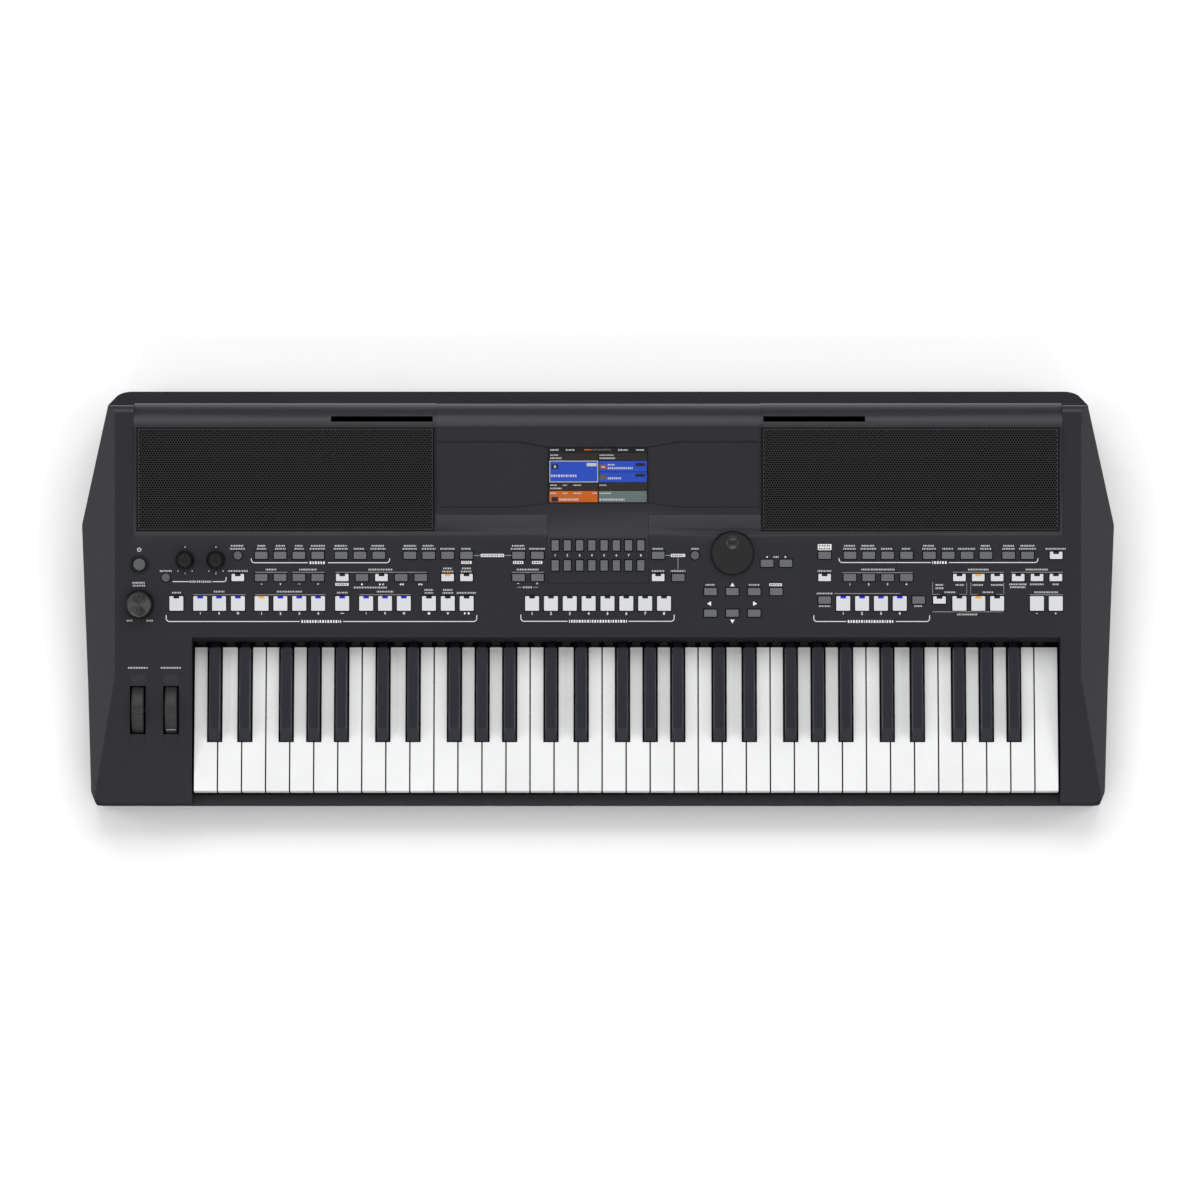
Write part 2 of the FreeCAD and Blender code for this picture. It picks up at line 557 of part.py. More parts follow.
FLOOR_TOP = "(Sizes.foot_height + Sizes.floor)"
tray_shell = boolean("Cut", "tray_shell", tray("tray_outside", "0", s("foot_height"), s("parting_height")),
                     tray("tray_inside", s("wall"), FLOOR_TOP, "Sizes.parting_height + 5"))
tray_added = [tray_shell]
for number in range(7):
    middle = f"({KEY_LEFT} + 10 + {number} * (36 * Sizes.key_pitch - 20) / 6)"
    tray_added.append(plain_box(f"frame_rib_{number}", f"{middle} - 1.5", f"{middle} + 1.5",
                                f"{KEY_FRONT} + 16",
                                f"{PIVOT_Y} + 16", f"{FLOOR_TOP} - 0.5", s("frame_floor")))
for number, (across, along) in enumerate(SCREWS):
    tray_added.append(post(f"lower_boss_{number}", across, along, f"{FLOOR_TOP} - 0.5", s("parting_height"),
                           s("boss_radius")))
BOARD_Z = "(Sizes.foot_height + Sizes.floor + 9)"
BOARDS = {"main_board": (-110, 110, 55, 165), "amplifier_board": (190, 330, 60, 150)}
for name, (left, right, front, rear) in BOARDS.items():
    for across in (left + 6, right - 6):
        for along in (front + 6, rear - 6):
            tray_added.append(post(f"{name}_post_{across}_{along}", str(across), str(along),
                                   f"{FLOOR_TOP} - 0.5",
                                   BOARD_Z, "3.5"))
BRACKET_Z = "(Sizes.parting_height - 7)"
for along in (-126, -104):
    tray_added.append(plain_box(f"bracket_rib_{-along}", "-Sizes.pitch_wheel_x - 10",
                                "-Sizes.mod_wheel_x + 10",
                                f"{along} - 1.5", f"{along} + 1.5", f"{FLOOR_TOP} - 0.5", BRACKET_Z))
tray_built = fuse_all("tray_built", tray_added)
lower_case = new_body("lower_case")
lower_case.BaseFeature = tray_built
doc.recompute()
deep = flat_sketch(lower_case, "screw_wells", "XY_Plane", "Sizes.foot_height - 1")
draw(deep, rings=[(across, along, "Sizes.screw_head + 0.4") for across, along in SCREWS])
pocket(lower_case, deep, "Sizes.parting_height - 6 - Sizes.foot_height + 1", back=True)
through = flat_sketch(lower_case, "screw_clearance", "XY_Plane", "Sizes.foot_height - 1")
draw(through, rings=[(across, along, "Sizes.screw_shank + 0.5") for across, along in SCREWS])
pocket(lower_case, through, "Sizes.parting_height + 5", back=True)
BAY_LOW = "(Sizes.jack_height - Sizes.jack_bay_height / 2)"
BAY_HIGH = "(Sizes.jack_height + Sizes.jack_bay_height / 2)"
window = flat_sketch(lower_case, "jack_window", "XZ_Plane", f"-({REAR} + 1)")
box_outline(window, "-Sizes.jack_bay_left", "-Sizes.jack_bay_right", BAY_LOW, BAY_HIGH)
pocket(lower_case, window, "Sizes.wall + 2", back=True)
keep(lower_case, "lower_case")
doc.recompute()


# Keys: one white pattern per note name and one black pattern per sharp, repeated over five octaves.
BLACK_CENTRES = {"c_sharp": "(Sizes.key_pitch - 3)", "d_sharp": "(2 * Sizes.key_pitch + 3)",
                 "f_sharp": "(4 * Sizes.key_pitch - 3.5)", "g_sharp": "(5 * Sizes.key_pitch)",
                 "a_sharp": "(6 * Sizes.key_pitch + 3.5)"}
WHITE_NEIGHBOURS = [("c", None, "c_sharp"), ("d", "c_sharp", "d_sharp"), ("e", "d_sharp", None),
                    ("f", None, "f_sharp"), ("g", "f_sharp", "g_sharp"), ("a", "g_sharp", "a_sharp"),
                    ("b", "a_sharp", None)]
WHITE_REAR = f"({KEY_FRONT} + Sizes.white_length)"
BLACK_REAR = f"({WHITE_REAR} - 2)"
NOTCH = f"({BLACK_REAR} - Sizes.black_length - 1.2)"
WHITE_BOTTOM = "(Sizes.white_top - Sizes.white_depth)"


def key_tail(body, name, middle, start):
    """Bar running back under the panel to a bore on the pivot rod."""
    bar = flat_sketch(body, name + "_bar", "YZ_Plane", middle)
    box_outline(bar, start, f"{PIVOT_Y} + Sizes.eye_half", "Sizes.pivot_height - Sizes.eye_half",
                "Sizes.white_top - 6")
    pad(body, bar, s("tail_width"), middle=True)
    bore = flat_sketch(body, name + "_bore", "YZ_Plane", middle)
    ring_outline(bore, PIVOT_Y, s("pivot_height"), "Sizes.rod_radius + Sizes.rod_clearance")
    return pocket(body, bore, "Sizes.tail_width + 2", middle=True)


def over_octaves(body, name):
    """Repeats the whole key once per octave."""
    doc.recompute()
    pattern = body.newObject("PartDesign::LinearPattern", name + "_octaves")
    pattern.TransformMode = "Whole shape"
    pattern.Direction = (origin_plane(body, "X_Axis"), [""])
    pattern.setExpression("Length", "28 * Sizes.key_pitch")
    pattern.Occurrences = 5
    body.Tip = pattern


def white_key(label, number, left_black, right_black, repeat):
    body = new_body(label)
    bind(body, Placement__Base__x=KEY_LEFT)
    left = f"({number} * Sizes.key_pitch + Sizes.key_gap / 2)"
    right = f"({number + 1} * Sizes.key_pitch - Sizes.key_gap / 2)"
    rear_left, rear_right = left, right
    corners = [(left, KEY_FRONT), (right, KEY_FRONT)]
    if right_black:
        rear_right = f"({BLACK_CENTRES[right_black]} - Sizes.notch_width / 2)"
        corners += [(right, NOTCH), (rear_right, NOTCH)]
    corners.append((rear_right, WHITE_REAR))
    if left_black:
        rear_left = f"({BLACK_CENTRES[left_black]} + Sizes.notch_width / 2)"
        corners += [(rear_left, WHITE_REAR), (rear_left, NOTCH), (left, NOTCH)]
    else:
        corners.append((left, WHITE_REAR))
    top = flat_sketch(body, label + "_plan", "XY_Plane", WHITE_BOTTOM)
    outline(top, corners)
    plate = pad(body, top, s("white_depth"))
    front, height = size("key_front") - size("case_depth") / 2, size("white_top")
    round_edges(body, plate, s("white_skin"),
                lambda edge: all(abs(vertex.Y - front) + abs(vertex.Z - height) < 0.01 for vertex in edge.Vertexes))
    if left_black is None and right_black is None:
        rear_right = f"({left} + 12.3)"
    hollow = flat_sketch(body, label + "_hollow", "XY_Plane", WHITE_BOTTOM)
    box_outline(hollow, f"{rear_left} + Sizes.white_skin", f"{rear_right} - Sizes.white_skin",
                f"{KEY_FRONT} + Sizes.white_skin", f"{WHITE_REAR} - Sizes.white_skin")
    pocket(body, hollow, "Sizes.white_depth - 2.5", back=True)
    key_tail(body, label, f"({rear_left} + {rear_right}) / 2", f"{WHITE_REAR} - 6")
    if repeat:
        over_octaves(body, label)
    return keep(body, label)


def black_key(label, middle):
    body = new_body(label)
    bind(body, Placement__Base__x=f"{KEY_LEFT} + {middle}")
    crown = "(Sizes.white_top + Sizes.black_rise)"
    section = flat_sketch(body, label + "_section", "XZ_Plane", f"-{BLACK_REAR}")
    outline(section, [("-Sizes.black_base / 2", "Sizes.white_top - 8"), ("Sizes.black_base / 2",
                                                                         "Sizes.white_top - 8"),
                      ("Sizes.black_crown / 2", crown), ("-Sizes.black_crown / 2", crown)])
    block = pad(body, section, s("black_length"))
    height = size("white_top") + size("black_rise")
    round_edges(body, block, "1.2", lambda edge: edge.Length > size("black_length") - 1
                and all(abs(vertex.Z - height) < 0.01 for vertex in edge.Vertexes))
    slope = flat_sketch(body, label + "_slope", "YZ_Plane")
    front = f"({BLACK_REAR} - Sizes.black_length)"
    outline(slope, [(f"{front} - 1", s("white_top")), (front, s("white_top")),
                    (f"{front} + Sizes.black_slope", crown), (f"{front} + Sizes.black_slope", f"{crown} + 1"),
                    (f"{front} - 1", f"{crown} + 1")])
    pocket(body, slope, "Sizes.black_base + 2", middle=True)
    hollow = flat_sketch(body, label + "_hollow", "XY_Plane", "Sizes.white_top - 8")
    box_outline(hollow, "-Sizes.tail_width / 2", "Sizes.tail_width / 2", f"{front} + 4", f"{BLACK_REAR} - 12")
    pocket(body, hollow, "Sizes.black_rise", back=True)
    key_tail(body, label, "0", f"{BLACK_REAR} - 10")
    over_octaves(body, label)
    return keep(body, label)


for number, (note, left_black, right_black) in enumerate(WHITE_NEIGHBOURS):
    white_key("white_keys_" + note, number, left_black, right_black, True)
white_key("white_key_top_c", 35, None, None, False)
for note, middle in BLACK_CENTRES.items():
    black_key("black_keys_" + note, middle)

# Pivot rod: one steel rod through every key eye and the ribs of the key frame.
rod = doc.addObject("Part::Cylinder", "key_pivot_rod")
rod.Placement = FreeCAD.Placement(FreeCAD.Vector(), FreeCAD.Rotation(FreeCAD.Vector(0, 1, 0), 90))
bind(rod, Radius=s("rod_radius"), Height=f"{KEY_RIGHT} - {KEY_LEFT} + 4",
     Placement__Base__x=f"{KEY_LEFT} - 2",
     Placement__Base__y=PIVOT_Y, Placement__Base__z=s("pivot_height"))
keep(rod, "key_pivot_rod")

# Key frame: folded channel along the keyboard with a front stop rail, board ledges and ribs for the rod.
FRAME_FRONT = f"({KEY_FRONT} + 18)"
FRAME_REAR = f"({PIVOT_Y} + 16)"
RAIL_TOP = "(Sizes.frame_floor + 18.5)"
LEDGE = "(Sizes.frame_floor + 8)"
SHEET_TOP = "(Sizes.frame_floor + 2.5)"
key_frame = new_body("key_frame")
profile = flat_sketch(key_frame, "frame_profile", "YZ_Plane", f"({KEY_LEFT} + {KEY_RIGHT}) / 2")
frame_line = [(FRAME_FRONT, s("frame_floor")), (f"{FRAME_FRONT} + 2.5", s("frame_floor")),
              (f"{FRAME_FRONT} + 2.5", f"{RAIL_TOP} - 2.5"), (f"{FRAME_FRONT} + 13.5", f"{RAIL_TOP} - 2.5"),
              (f"{FRAME_FRONT} + 13.5", s("frame_floor")), (FRAME_REAR, s("frame_floor")),
              (FRAME_REAR, f"{RAIL_TOP} + 5"), (f"{FRAME_REAR} - 2.5", f"{RAIL_TOP} + 5"),
              (f"{FRAME_REAR} - 2.5", SHEET_TOP)]
for start in (108, 52):
    frame_line += [(f"{FRAME_FRONT} + {start}", SHEET_TOP), (f"{FRAME_FRONT} + {start}", LEDGE),
                   (f"{FRAME_FRONT} + {start - 4}", LEDGE), (f"{FRAME_FRONT} + {start - 4}", SHEET_TOP)]
frame_line += [(f"{FRAME_FRONT} + 16", SHEET_TOP), (f"{FRAME_FRONT} + 16", RAIL_TOP), (FRAME_FRONT, RAIL_TOP)]
outline(profile, frame_line)
channel = pad(key_frame, profile, f"{KEY_RIGHT} - {KEY_LEFT}", middle=True)
rib_places = [f"({KEY_LEFT} + {7 * octave} * Sizes.key_pitch)" for octave in range(6)] + [KEY_RIGHT]
for number, middle in enumerate(rib_places):
    rib = flat_sketch(key_frame, f"rib_{number}", "YZ_Plane", middle)
    box_outline(rib, f"{PIVOT_Y} - 7", f"{PIVOT_Y} + 14", f"{SHEET_TOP} - 1", "Sizes.pivot_height + 6")
    pad(key_frame, rib, "3", middle=True)
rod_hole = flat_sketch(key_frame, "rod_hole", "YZ_Plane", f"({KEY_LEFT} + {KEY_RIGHT}) / 2")
ring_outline(rod_hole, PIVOT_Y, s("pivot_height"), "Sizes.rod_radius + 0.05")
pocket(key_frame, rod_hole, f"{KEY_RIGHT} - {KEY_LEFT} + 20", middle=True)
keep(key_frame, "key_frame")
keep(plain_box("key_felt", KEY_LEFT, KEY_RIGHT, f"{FRAME_FRONT} + 2", f"{FRAME_FRONT} + 14", RAIL_TOP,
               f"{RAIL_TOP} + 3"), "key_felt")
keep(plain_box("key_contact_board", KEY_LEFT, KEY_RIGHT, f"{FRAME_FRONT} + 46", f"{FRAME_FRONT} + 110", LEDGE,
               f"{LEDGE} + Sizes.board_thickness"), "key_contact_board")
strips = [plain_box(f"contact_strip_{start}", KEY_LEFT, KEY_RIGHT, f"{FRAME_FRONT} + {start}",
                    f"{FRAME_FRONT} + {start + 9}", f"{LEDGE} + Sizes.board_thickness",
                    f"{LEDGE} + Sizes.board_thickness + 8") for start in (62, 82)]
contact_strips = doc.addObject("Part::Compound", "rubber_contacts")
contact_strips.Links = strips
keep(contact_strips, "rubber_contacts")

# Button caps stand through the skin, with a flange that stops them under it.
SKIN_BOTTOM = "(-Sizes.wall - Sizes.seat_gap)"
FLANGE_BOTTOM = "(-Sizes.wall - Sizes.seat_gap - Sizes.flange_depth)"


def cap_body(name, spots, rise):
    """Caps and flanges; a spot is a centre with half sizes, or a centre with one radius."""
    body = new_body(name)
    place_on_panel(body)
    for stage, low, high, grow in (("flange", FLANGE_BOTTOM, SKIN_BOTTOM,
                                    "Sizes.cap_clearance + Sizes.flange"),
                                   ("cap", SKIN_BOTTOM, rise, "0")):
        sketch = flat_sketch(body, f"{name}_{stage}", "XY_Plane", low)
        rectangles, rings = grown(spots, grow)
        draw(sketch, [corner_box(*rectangle) for rectangle in rectangles], rings)
        pad(body, sketch, f"({high}) - ({low})")
    return keep(body, name)


for name, spots in button_spots.items():
    cap_body(name, spots, s("cap_rise"))

# Display housing: cover plate round the screen, with a tongue down the ramp for the sixteen screen buttons.
screen_spots = []
for row in ("screen_row_1", "screen_row_2"):
    for number in range(8):
        screen_spots.append((f"({number - 3.5} * Sizes.screen_key_pitch)", s(row),
                             "Sizes.screen_key_width / 2",
                             "Sizes.screen_key_length / 2"))
cap_body("screen_buttons", screen_spots, s("cap_rise"))
housing = new_body("display_housing")
place_on_panel(housing)
plate_sketch = flat_sketch(housing, "housing_plate", "XY_Plane", PLATE_BOTTOM)
box_outline(plate_sketch, "-Sizes.centre_half + 0.5", "Sizes.centre_half - 0.5", PLATE_FRONT,
            s("housing_rear"))
pad(housing, plate_sketch, "3")
tongue = flat_sketch(housing, "housing_tongue", "YZ_Plane")
outline(tongue, [(s("tongue_front"), "-Sizes.wall"), (f"{s('block_start')} + 0.6", "-Sizes.wall"),
                 (f"{PLATE_FRONT} + 1", PLATE_BOTTOM), (f"{PLATE_FRONT} + 3", PLATE_BOTTOM),
                 (f"{PLATE_FRONT} + 3", s("centre_raise")), (PLATE_FRONT, s("centre_raise")),
                 (s("block_start"), "0"),
                 (s("tongue_front"), "0")])
pad(housing, tongue, "2 * Sizes.tongue_half", middle=True)
screen_hole = flat_sketch(housing, "screen_hole", "XY_Plane", "20")
box_outline(screen_hole, "-Sizes.display_width / 2 - 0.3", "Sizes.display_width / 2 + 0.3",
            "Sizes.display_middle - Sizes.display_length / 2 - 0.3",
            "Sizes.display_middle + Sizes.display_length / 2 + 0.3")
pocket(housing, screen_hole, "40")
wing = flat_sketch(housing, "wing_recess", "XY_Plane", s("centre_raise"))
wings = []
for way in ("-1", "1"):
    near = f"{way} * (Sizes.display_width / 2 + 2)"
    bend = f"{way} * (Sizes.display_width / 2 + 32)"
    end = f"{way} * (Sizes.centre_half - 2)"
    wings.append([(near, "Sizes.display_middle - 25"), (bend, "Sizes.display_middle - 31"),
                  (end, "Sizes.display_middle - 31"), (end, "Sizes.display_middle + 34"),
                  (bend, "Sizes.display_middle + 34"), (near, "Sizes.display_middle + 28")])
draw(wing, wings)
pocket(housing, wing, "0.6")
cap_windows = flat_sketch(housing, "screen_button_holes", "XY_Plane", "10")
draw(cap_windows, [corner_box(*rectangle) for rectangle in grown(screen_spots, s("cap_clearance"))[0]])
pocket(housing, cap_windows, "30")
keep(housing, "display_housing")
DISPLAY_LOW = "(Sizes.display_middle - Sizes.display_length / 2)"
DISPLAY_HIGH = "(Sizes.display_middle + Sizes.display_length / 2)"
keep(panel_box("display_window", "-Sizes.display_width / 2", "Sizes.display_width / 2", DISPLAY_LOW,
               DISPLAY_HIGH,
               "Sizes.centre_raise - 1.8", "Sizes.centre_raise - 0.3"), "display_window")
module_frame = panel_box("display_frame", "-Sizes.display_width / 2 - 6", "Sizes.display_width / 2 + 6",
                         f"{DISPLAY_LOW} - 6", f"{DISPLAY_HIGH} + 8", f"{PLATE_BOTTOM} - 7",
                         f"{PLATE_BOTTOM} - 0.2")
module_glass = panel_box("display_glass", "-Sizes.display_width / 2 + 1", "Sizes.display_width / 2 - 1",
                         f"{DISPLAY_LOW} + 1", f"{DISPLAY_HIGH} - 1", f"{PLATE_BOTTOM} - 1",
                         "Sizes.centre_raise - 2")
keep(fuse_all("display_module", [module_frame, module_glass]), "display_module")
doc.recompute()


# Speaker grilles: pressed metal pans dropped into the recesses of the speaker block.
def grille(label, left, right):
    body = new_body(label)
    place_on_panel(body)
    low = "(Sizes.grille_front + Sizes.seat_gap)"
    high = "(Sizes.grille_rear - Sizes.seat_gap)"
    pan = flat_sketch(body, label + "_pan", "XY_Plane", "Sizes.speaker_raise - Sizes.grille_depth")
    box_outline(pan, left, right, low, high)
    plate = pad(body, pan, s("grille_depth"))
    round_edges(body, plate, "2.5", upright)
    hollow = flat_sketch(body, label + "_hollow", "XY_Plane", "Sizes.speaker_raise - Sizes.grille_depth")
    box_outline(hollow, f"{left} + Sizes.grille_sheet", f"{right} - Sizes.grille_sheet",
                f"{low} + Sizes.grille_sheet", f"{high} - Sizes.grille_sheet")
    pocket(body, hollow, "Sizes.grille_depth - Sizes.grille_sheet", back=True)
    return keep(body, label)


grille("speaker_grille_left", "(-Sizes.grille_outer + Sizes.seat_gap)",
       "(-Sizes.grille_inner - Sizes.seat_gap)")
grille("speaker_grille_right", "(Sizes.grille_inner + Sizes.seat_gap)",
       "(Sizes.grille_outer - Sizes.seat_gap)")


# Turned pieces share one way of drawing: a half section in the body's own XZ plane, turned about Z.
def turned(body, name, half_section):
    sketch = flat_sketch(body, name, "XZ_Plane")
    outline(sketch, half_section)
    feature = body.newObject("PartDesign::Revolution", name + "_turned")
    feature.Profile = sketch
    feature.ReferenceAxis = (origin_plane(body, "Z_Axis"), [""])
    feature.Angle = 360
    sketch.Visibility = False
    return feature


def stand_on_panel(body, across, along):
    """Puts a turned body's axis on the panel normal at a place on the panel."""
    place_on_panel(body)
    bind(body, Placement__Base__x=across, Placement__Base__y=f"{LIP_Y} + ({along}) * cos(Sizes.panel_slope)",
         Placement__Base__z=f"{LIP_Z} + ({along}) * sin(Sizes.panel_slope)")


# Speakers: pressed basket with its magnet behind the baffle, and a paper cone hung inside it.
BASKET_TOP = f"({BAFFLE} - Sizes.wall - 0.2)"
baskets = []
cones = []
for side, way in (("left", "-1"), ("right", "1")):
    basket = new_body("basket_" + side)
    stand_on_panel(basket, f"{way} * {GRILLE_X}", GRILLE_W)
    rim = "(Sizes.speaker_hole - 1)"
    bottom = f"({BASKET_TOP} - Sizes.speaker_depth)"
    turned(basket, f"basket_section_{side}", [
        (rim, BASKET_TOP), (s("speaker_flange"), BASKET_TOP), (s("speaker_flange"), f"{BASKET_TOP} - 1.2"),
        (f"{rim} + 1.5", f"{BASKET_TOP} - 1.2"), ("25", f"{bottom} + 14"),
        (s("magnet_radius"), f"{bottom} + 14"),
        (s("magnet_radius"), bottom), ("14", bottom), ("14", f"{bottom} + 15.2"), ("24", f"{bottom} + 15.2")])
    baskets.append(basket)
    cone = new_body("cone_" + side)
    stand_on_panel(cone, f"{way} * {GRILLE_X}", GRILLE_W)
    turned(cone, f"cone_section_{side}", [
        (f"{rim} - 0.3", BASKET_TOP), (f"{rim} - 0.3", f"{BASKET_TOP} - 1"),
        (f"{rim} - 6", f"{BASKET_TOP} - 2"),
        ("13", f"{BASKET_TOP} - 18"), ("0", f"{BASKET_TOP} - 18"), ("0", f"{BASKET_TOP} - 13"),
        ("8", f"{BASKET_TOP} - 14.5"), ("13", f"{BASKET_TOP} - 17"), (f"{rim} - 6", f"{BASKET_TOP} - 1")])
    cones.append(cone)
for label, bodies in (("speaker_drivers", baskets), ("speaker_cones", cones)):
    group = doc.addObject("Part::Compound", label)
    group.Links = bodies
    keep(group, label)

# Panel boards: three boards with rubber switch strips and the bushings of the rotary controls.
BOARD_TOP = "(-Sizes.board_depth)"
BOARD_LOW = "(-Sizes.board_depth - Sizes.board_thickness)"
STRIP_TOP = "(-Sizes.wall - Sizes.seat_gap - Sizes.flange_depth - 1)"
PANEL_BOARDS = {
    "left": (-458, -112, 14, 94, [(-416, -120, "row_3"), (-356, -120, "row_2"), (-356, -120, "row_1")],
             [("-Sizes.volume_x", s("volume_row")), ("-Sizes.live_x", s("live_row")),
              ("-Sizes.live_x + Sizes.live_spacing", s("live_row"))]),
    "centre": (-88, 200, 14, 94, [(-72, 72, "row_3"), (-85, -48, "row_2"), (-85, -48, "row_1"),
                                  (-46, 46, "screen_row_2"), (-46, 46, "screen_row_1"),
                                  (52, 86, "row_2"), (52, 100, "row_1"),
                                  (102, 180, "cursor_row_1"), (102, 160, "cursor_row_2"),
                                  (156, 190, "tab_row")],
               [(s("dial_x"), s("dial_row"))]),
    "right": (210, 456, 14, 94, [(212, 452, "row_3"), (212, 452, "row_2"), (212, 452, "row_1")], []),
}
board_solids = []
bores = []
for side, (left, right, low, high, strips, controls) in PANEL_BOARDS.items():
    layers = [panel_box(f"panel_board_{side}", str(left), str(right), str(low), str(high), BOARD_LOW,
                        BOARD_TOP)]
    for number, (start, end, row) in enumerate(strips):
        layers.append(panel_box(f"switch_strip_{side}_{number}", str(start), str(end),
                                f"Sizes.{row} - Sizes.strip_width / 2",
                                f"Sizes.{row} + Sizes.strip_width / 2",
                                f"{BOARD_TOP} - 0.5", STRIP_TOP))
    for number, (across, along) in enumerate(controls):
        bush = new_body(f"bush_{side}_{number}")
        stand_on_panel(bush, across, along)
        turned(bush, f"bush_section_{side}_{number}", [
            ("Sizes.shaft_radius + Sizes.shaft_clearance", f"{BOARD_LOW} - 6"), ("7", f"{BOARD_LOW} - 6"),
            ("7", f"{BOARD_TOP} + 1"), ("4.6", f"{BOARD_TOP} + 1"), ("4.6", f"{BOARD_TOP} + 4.6"),
            ("Sizes.shaft_radius + Sizes.shaft_clearance", f"{BOARD_TOP} + 4.6")])
        layers.append(bush)
        bore = doc.addObject("Part::Cylinder", f"bush_bore_{side}_{number}")
        stand_on_panel(bore, across, along)
        bind(bore, Radius="Sizes.shaft_radius + Sizes.shaft_clearance", Height="40",
             Placement__Base__y=f"{LIP_Y} + ({along}) * cos(Sizes.panel_slope) + 25 * sin(Sizes.panel_slope)",
             Placement__Base__z=f"{LIP_Z} + ({along}) * sin(Sizes.panel_slope) - 25 * cos(Sizes.panel_slope)")
        bores.append(bore)
    board_solids.append(fuse_all(f"panel_board_set_{side}", layers))
board_group = doc.addObject("Part::Compound", "panel_board_group")
board_group.Links = board_solids
bore_group = doc.addObject("Part::Compound", "bush_bores")
bore_group.Links = bores
keep(boolean("Cut", "panel_boards", board_group, bore_group), "panel_boards")


# Knobs: each turns on a shaft that runs down into its control's bushing.
def knob(label, across, along, half_section):
    body = new_body(label)
    stand_on_panel(body, across, along)
    shaft_end = f"({BOARD_LOW} - 5)"
    turned(body, label + "_section", [("0", shaft_end), (s("shaft_radius"), shaft_end)] + half_section
           + [("0", half_section[-1][1])])
    return keep(body, label)


knob("volume_knob", "-Sizes.volume_x", s("volume_row"), [
    (s("shaft_radius"), "0.6"), (s("volume_radius"), "0.6"), (s("volume_radius"), "3"),
    ("Sizes.volume_radius - 1.6", "Sizes.volume_height - 1"),
    ("Sizes.volume_radius - 2.6", s("volume_height"))])
for number, offset in ((1, "0"), (2, s("live_spacing"))):
    knob(f"live_control_knob_{number}", f"-Sizes.live_x + {offset}", s("live_row"), [
        (s("shaft_radius"), "0.6"), (s("live_radius"), "0.6"), (s("live_radius"), "2"),
        ("Sizes.live_radius - 1.8", "4"),
        ("Sizes.live_radius - 2.4", "Sizes.live_height - 0.8"),
        ("Sizes.live_radius - 3.2", s("live_height"))])
dial = knob("data_dial", s("dial_x"), s("dial_row"), [
    (s("shaft_radius"), "-3"), (s("dial_radius"), "-3"), (s("dial_radius"), "Sizes.dial_height - 1.5"),
    ("Sizes.dial_radius - 1.5", s("dial_height"))])
finger = dial.newObject("PartDesign::SubtractiveSphere", "finger_dish")
finger.AttachmentSupport = [(origin_plane(dial, "XY_Plane"), "")]
finger.MapMode = "FlatFace"
bind(finger, Radius="14", AttachmentOffset__Base__y="Sizes.dial_radius / 2",
     AttachmentOffset__Base__z="Sizes.dial_height + 12.4")

# Wheels: two drums on stub axles, held in a bracket that stands on ribs of the lower case.
WHEEL_Y = f"({LIP_Y} - Sizes.wheel_row * cos(Sizes.panel_slope) + Sizes.wheel_depth * sin(Sizes.panel_slope))"
WHEEL_Z = f"({LIP_Z} - Sizes.wheel_row * sin(Sizes.panel_slope) - Sizes.wheel_depth * cos(Sizes.panel_slope))"


def wheel(label, across):
    body = new_body(label)
    body.Placement = FreeCAD.Placement(FreeCAD.Vector(), FreeCAD.Rotation(FreeCAD.Vector(0, 1, 0), 90))
    bind(body, Placement__Base__x=across, Placement__Base__y=WHEEL_Y, Placement__Base__z=WHEEL_Z)
    half = "Sizes.wheel_width / 2"
    turned(body, label + "_section", [
        ("0", f"-{half} - 4"), (s("axle_radius"), f"-{half} - 4"), (s("axle_radius"), f"-{half}"),
        ("Sizes.wheel_radius - 1", f"-{half}"), (s("wheel_radius"), f"-{half} + 1"),
        (s("wheel_radius"), f"{half} - 1"),
        ("Sizes.wheel_radius - 1", half), (s("axle_radius"), half), (s("axle_radius"), f"{half} + 4"),
        ("0", f"{half} + 4")])
    return keep(body, label)


wheels = {"pitch_wheel": "-Sizes.pitch_wheel_x", "modulation_wheel": "-Sizes.mod_wheel_x"}
for label, across in wheels.items():
    drum = wheel(label, across)
    if label == "pitch_wheel":
        groove = flat_sketch(drum, "thumb_groove", "XY_Plane", "-20")
        ring_outline(groove, "-(Sizes.wheel_radius + 2.5) * cos(Sizes.panel_slope)",
                     "-(Sizes.wheel_radius + 2.5) * sin(Sizes.panel_slope)", "5")
        pocket(drum, groove, "40", back=True)
bracket = new_body("wheel_bracket")
base = flat_sketch(bracket, "bracket_base", "XY_Plane", BRACKET_Z)
box_outline(base, "-Sizes.pitch_wheel_x - 11", "-Sizes.mod_wheel_x + 11", f"{WHEEL_Y} - 17",
            f"{WHEEL_Y} + 17")
pad(bracket, base, "2.5")
number = 0
for across in wheels.values():
    for way in (-1, 1):
        cheek = flat_sketch(bracket, f"bracket_plate_{number}", "YZ_Plane",
                            f"{across} + {way} * (Sizes.wheel_width / 2 + 3)")
        outline(cheek, [(f"{WHEEL_Y} - 15", BRACKET_Z), (f"{WHEEL_Y} + 15", BRACKET_Z), (f"{WHEEL_Y} + 8",
                                                                                         f"{WHEEL_Z} + 7"),
                        (f"{WHEEL_Y} - 8", f"{WHEEL_Z} + 7")])
        pad(bracket, cheek, "2.5", middle=True)
        number += 1
axle_bore = flat_sketch(bracket, "axle_bore", "YZ_Plane", "-(Sizes.pitch_wheel_x + Sizes.mod_wheel_x) / 2")
ring_outline(axle_bore, WHEEL_Y, WHEEL_Z, "Sizes.axle_radius + Sizes.shaft_clearance")
pocket(bracket, axle_bore, "120", middle=True)
keep(bracket, "wheel_bracket")

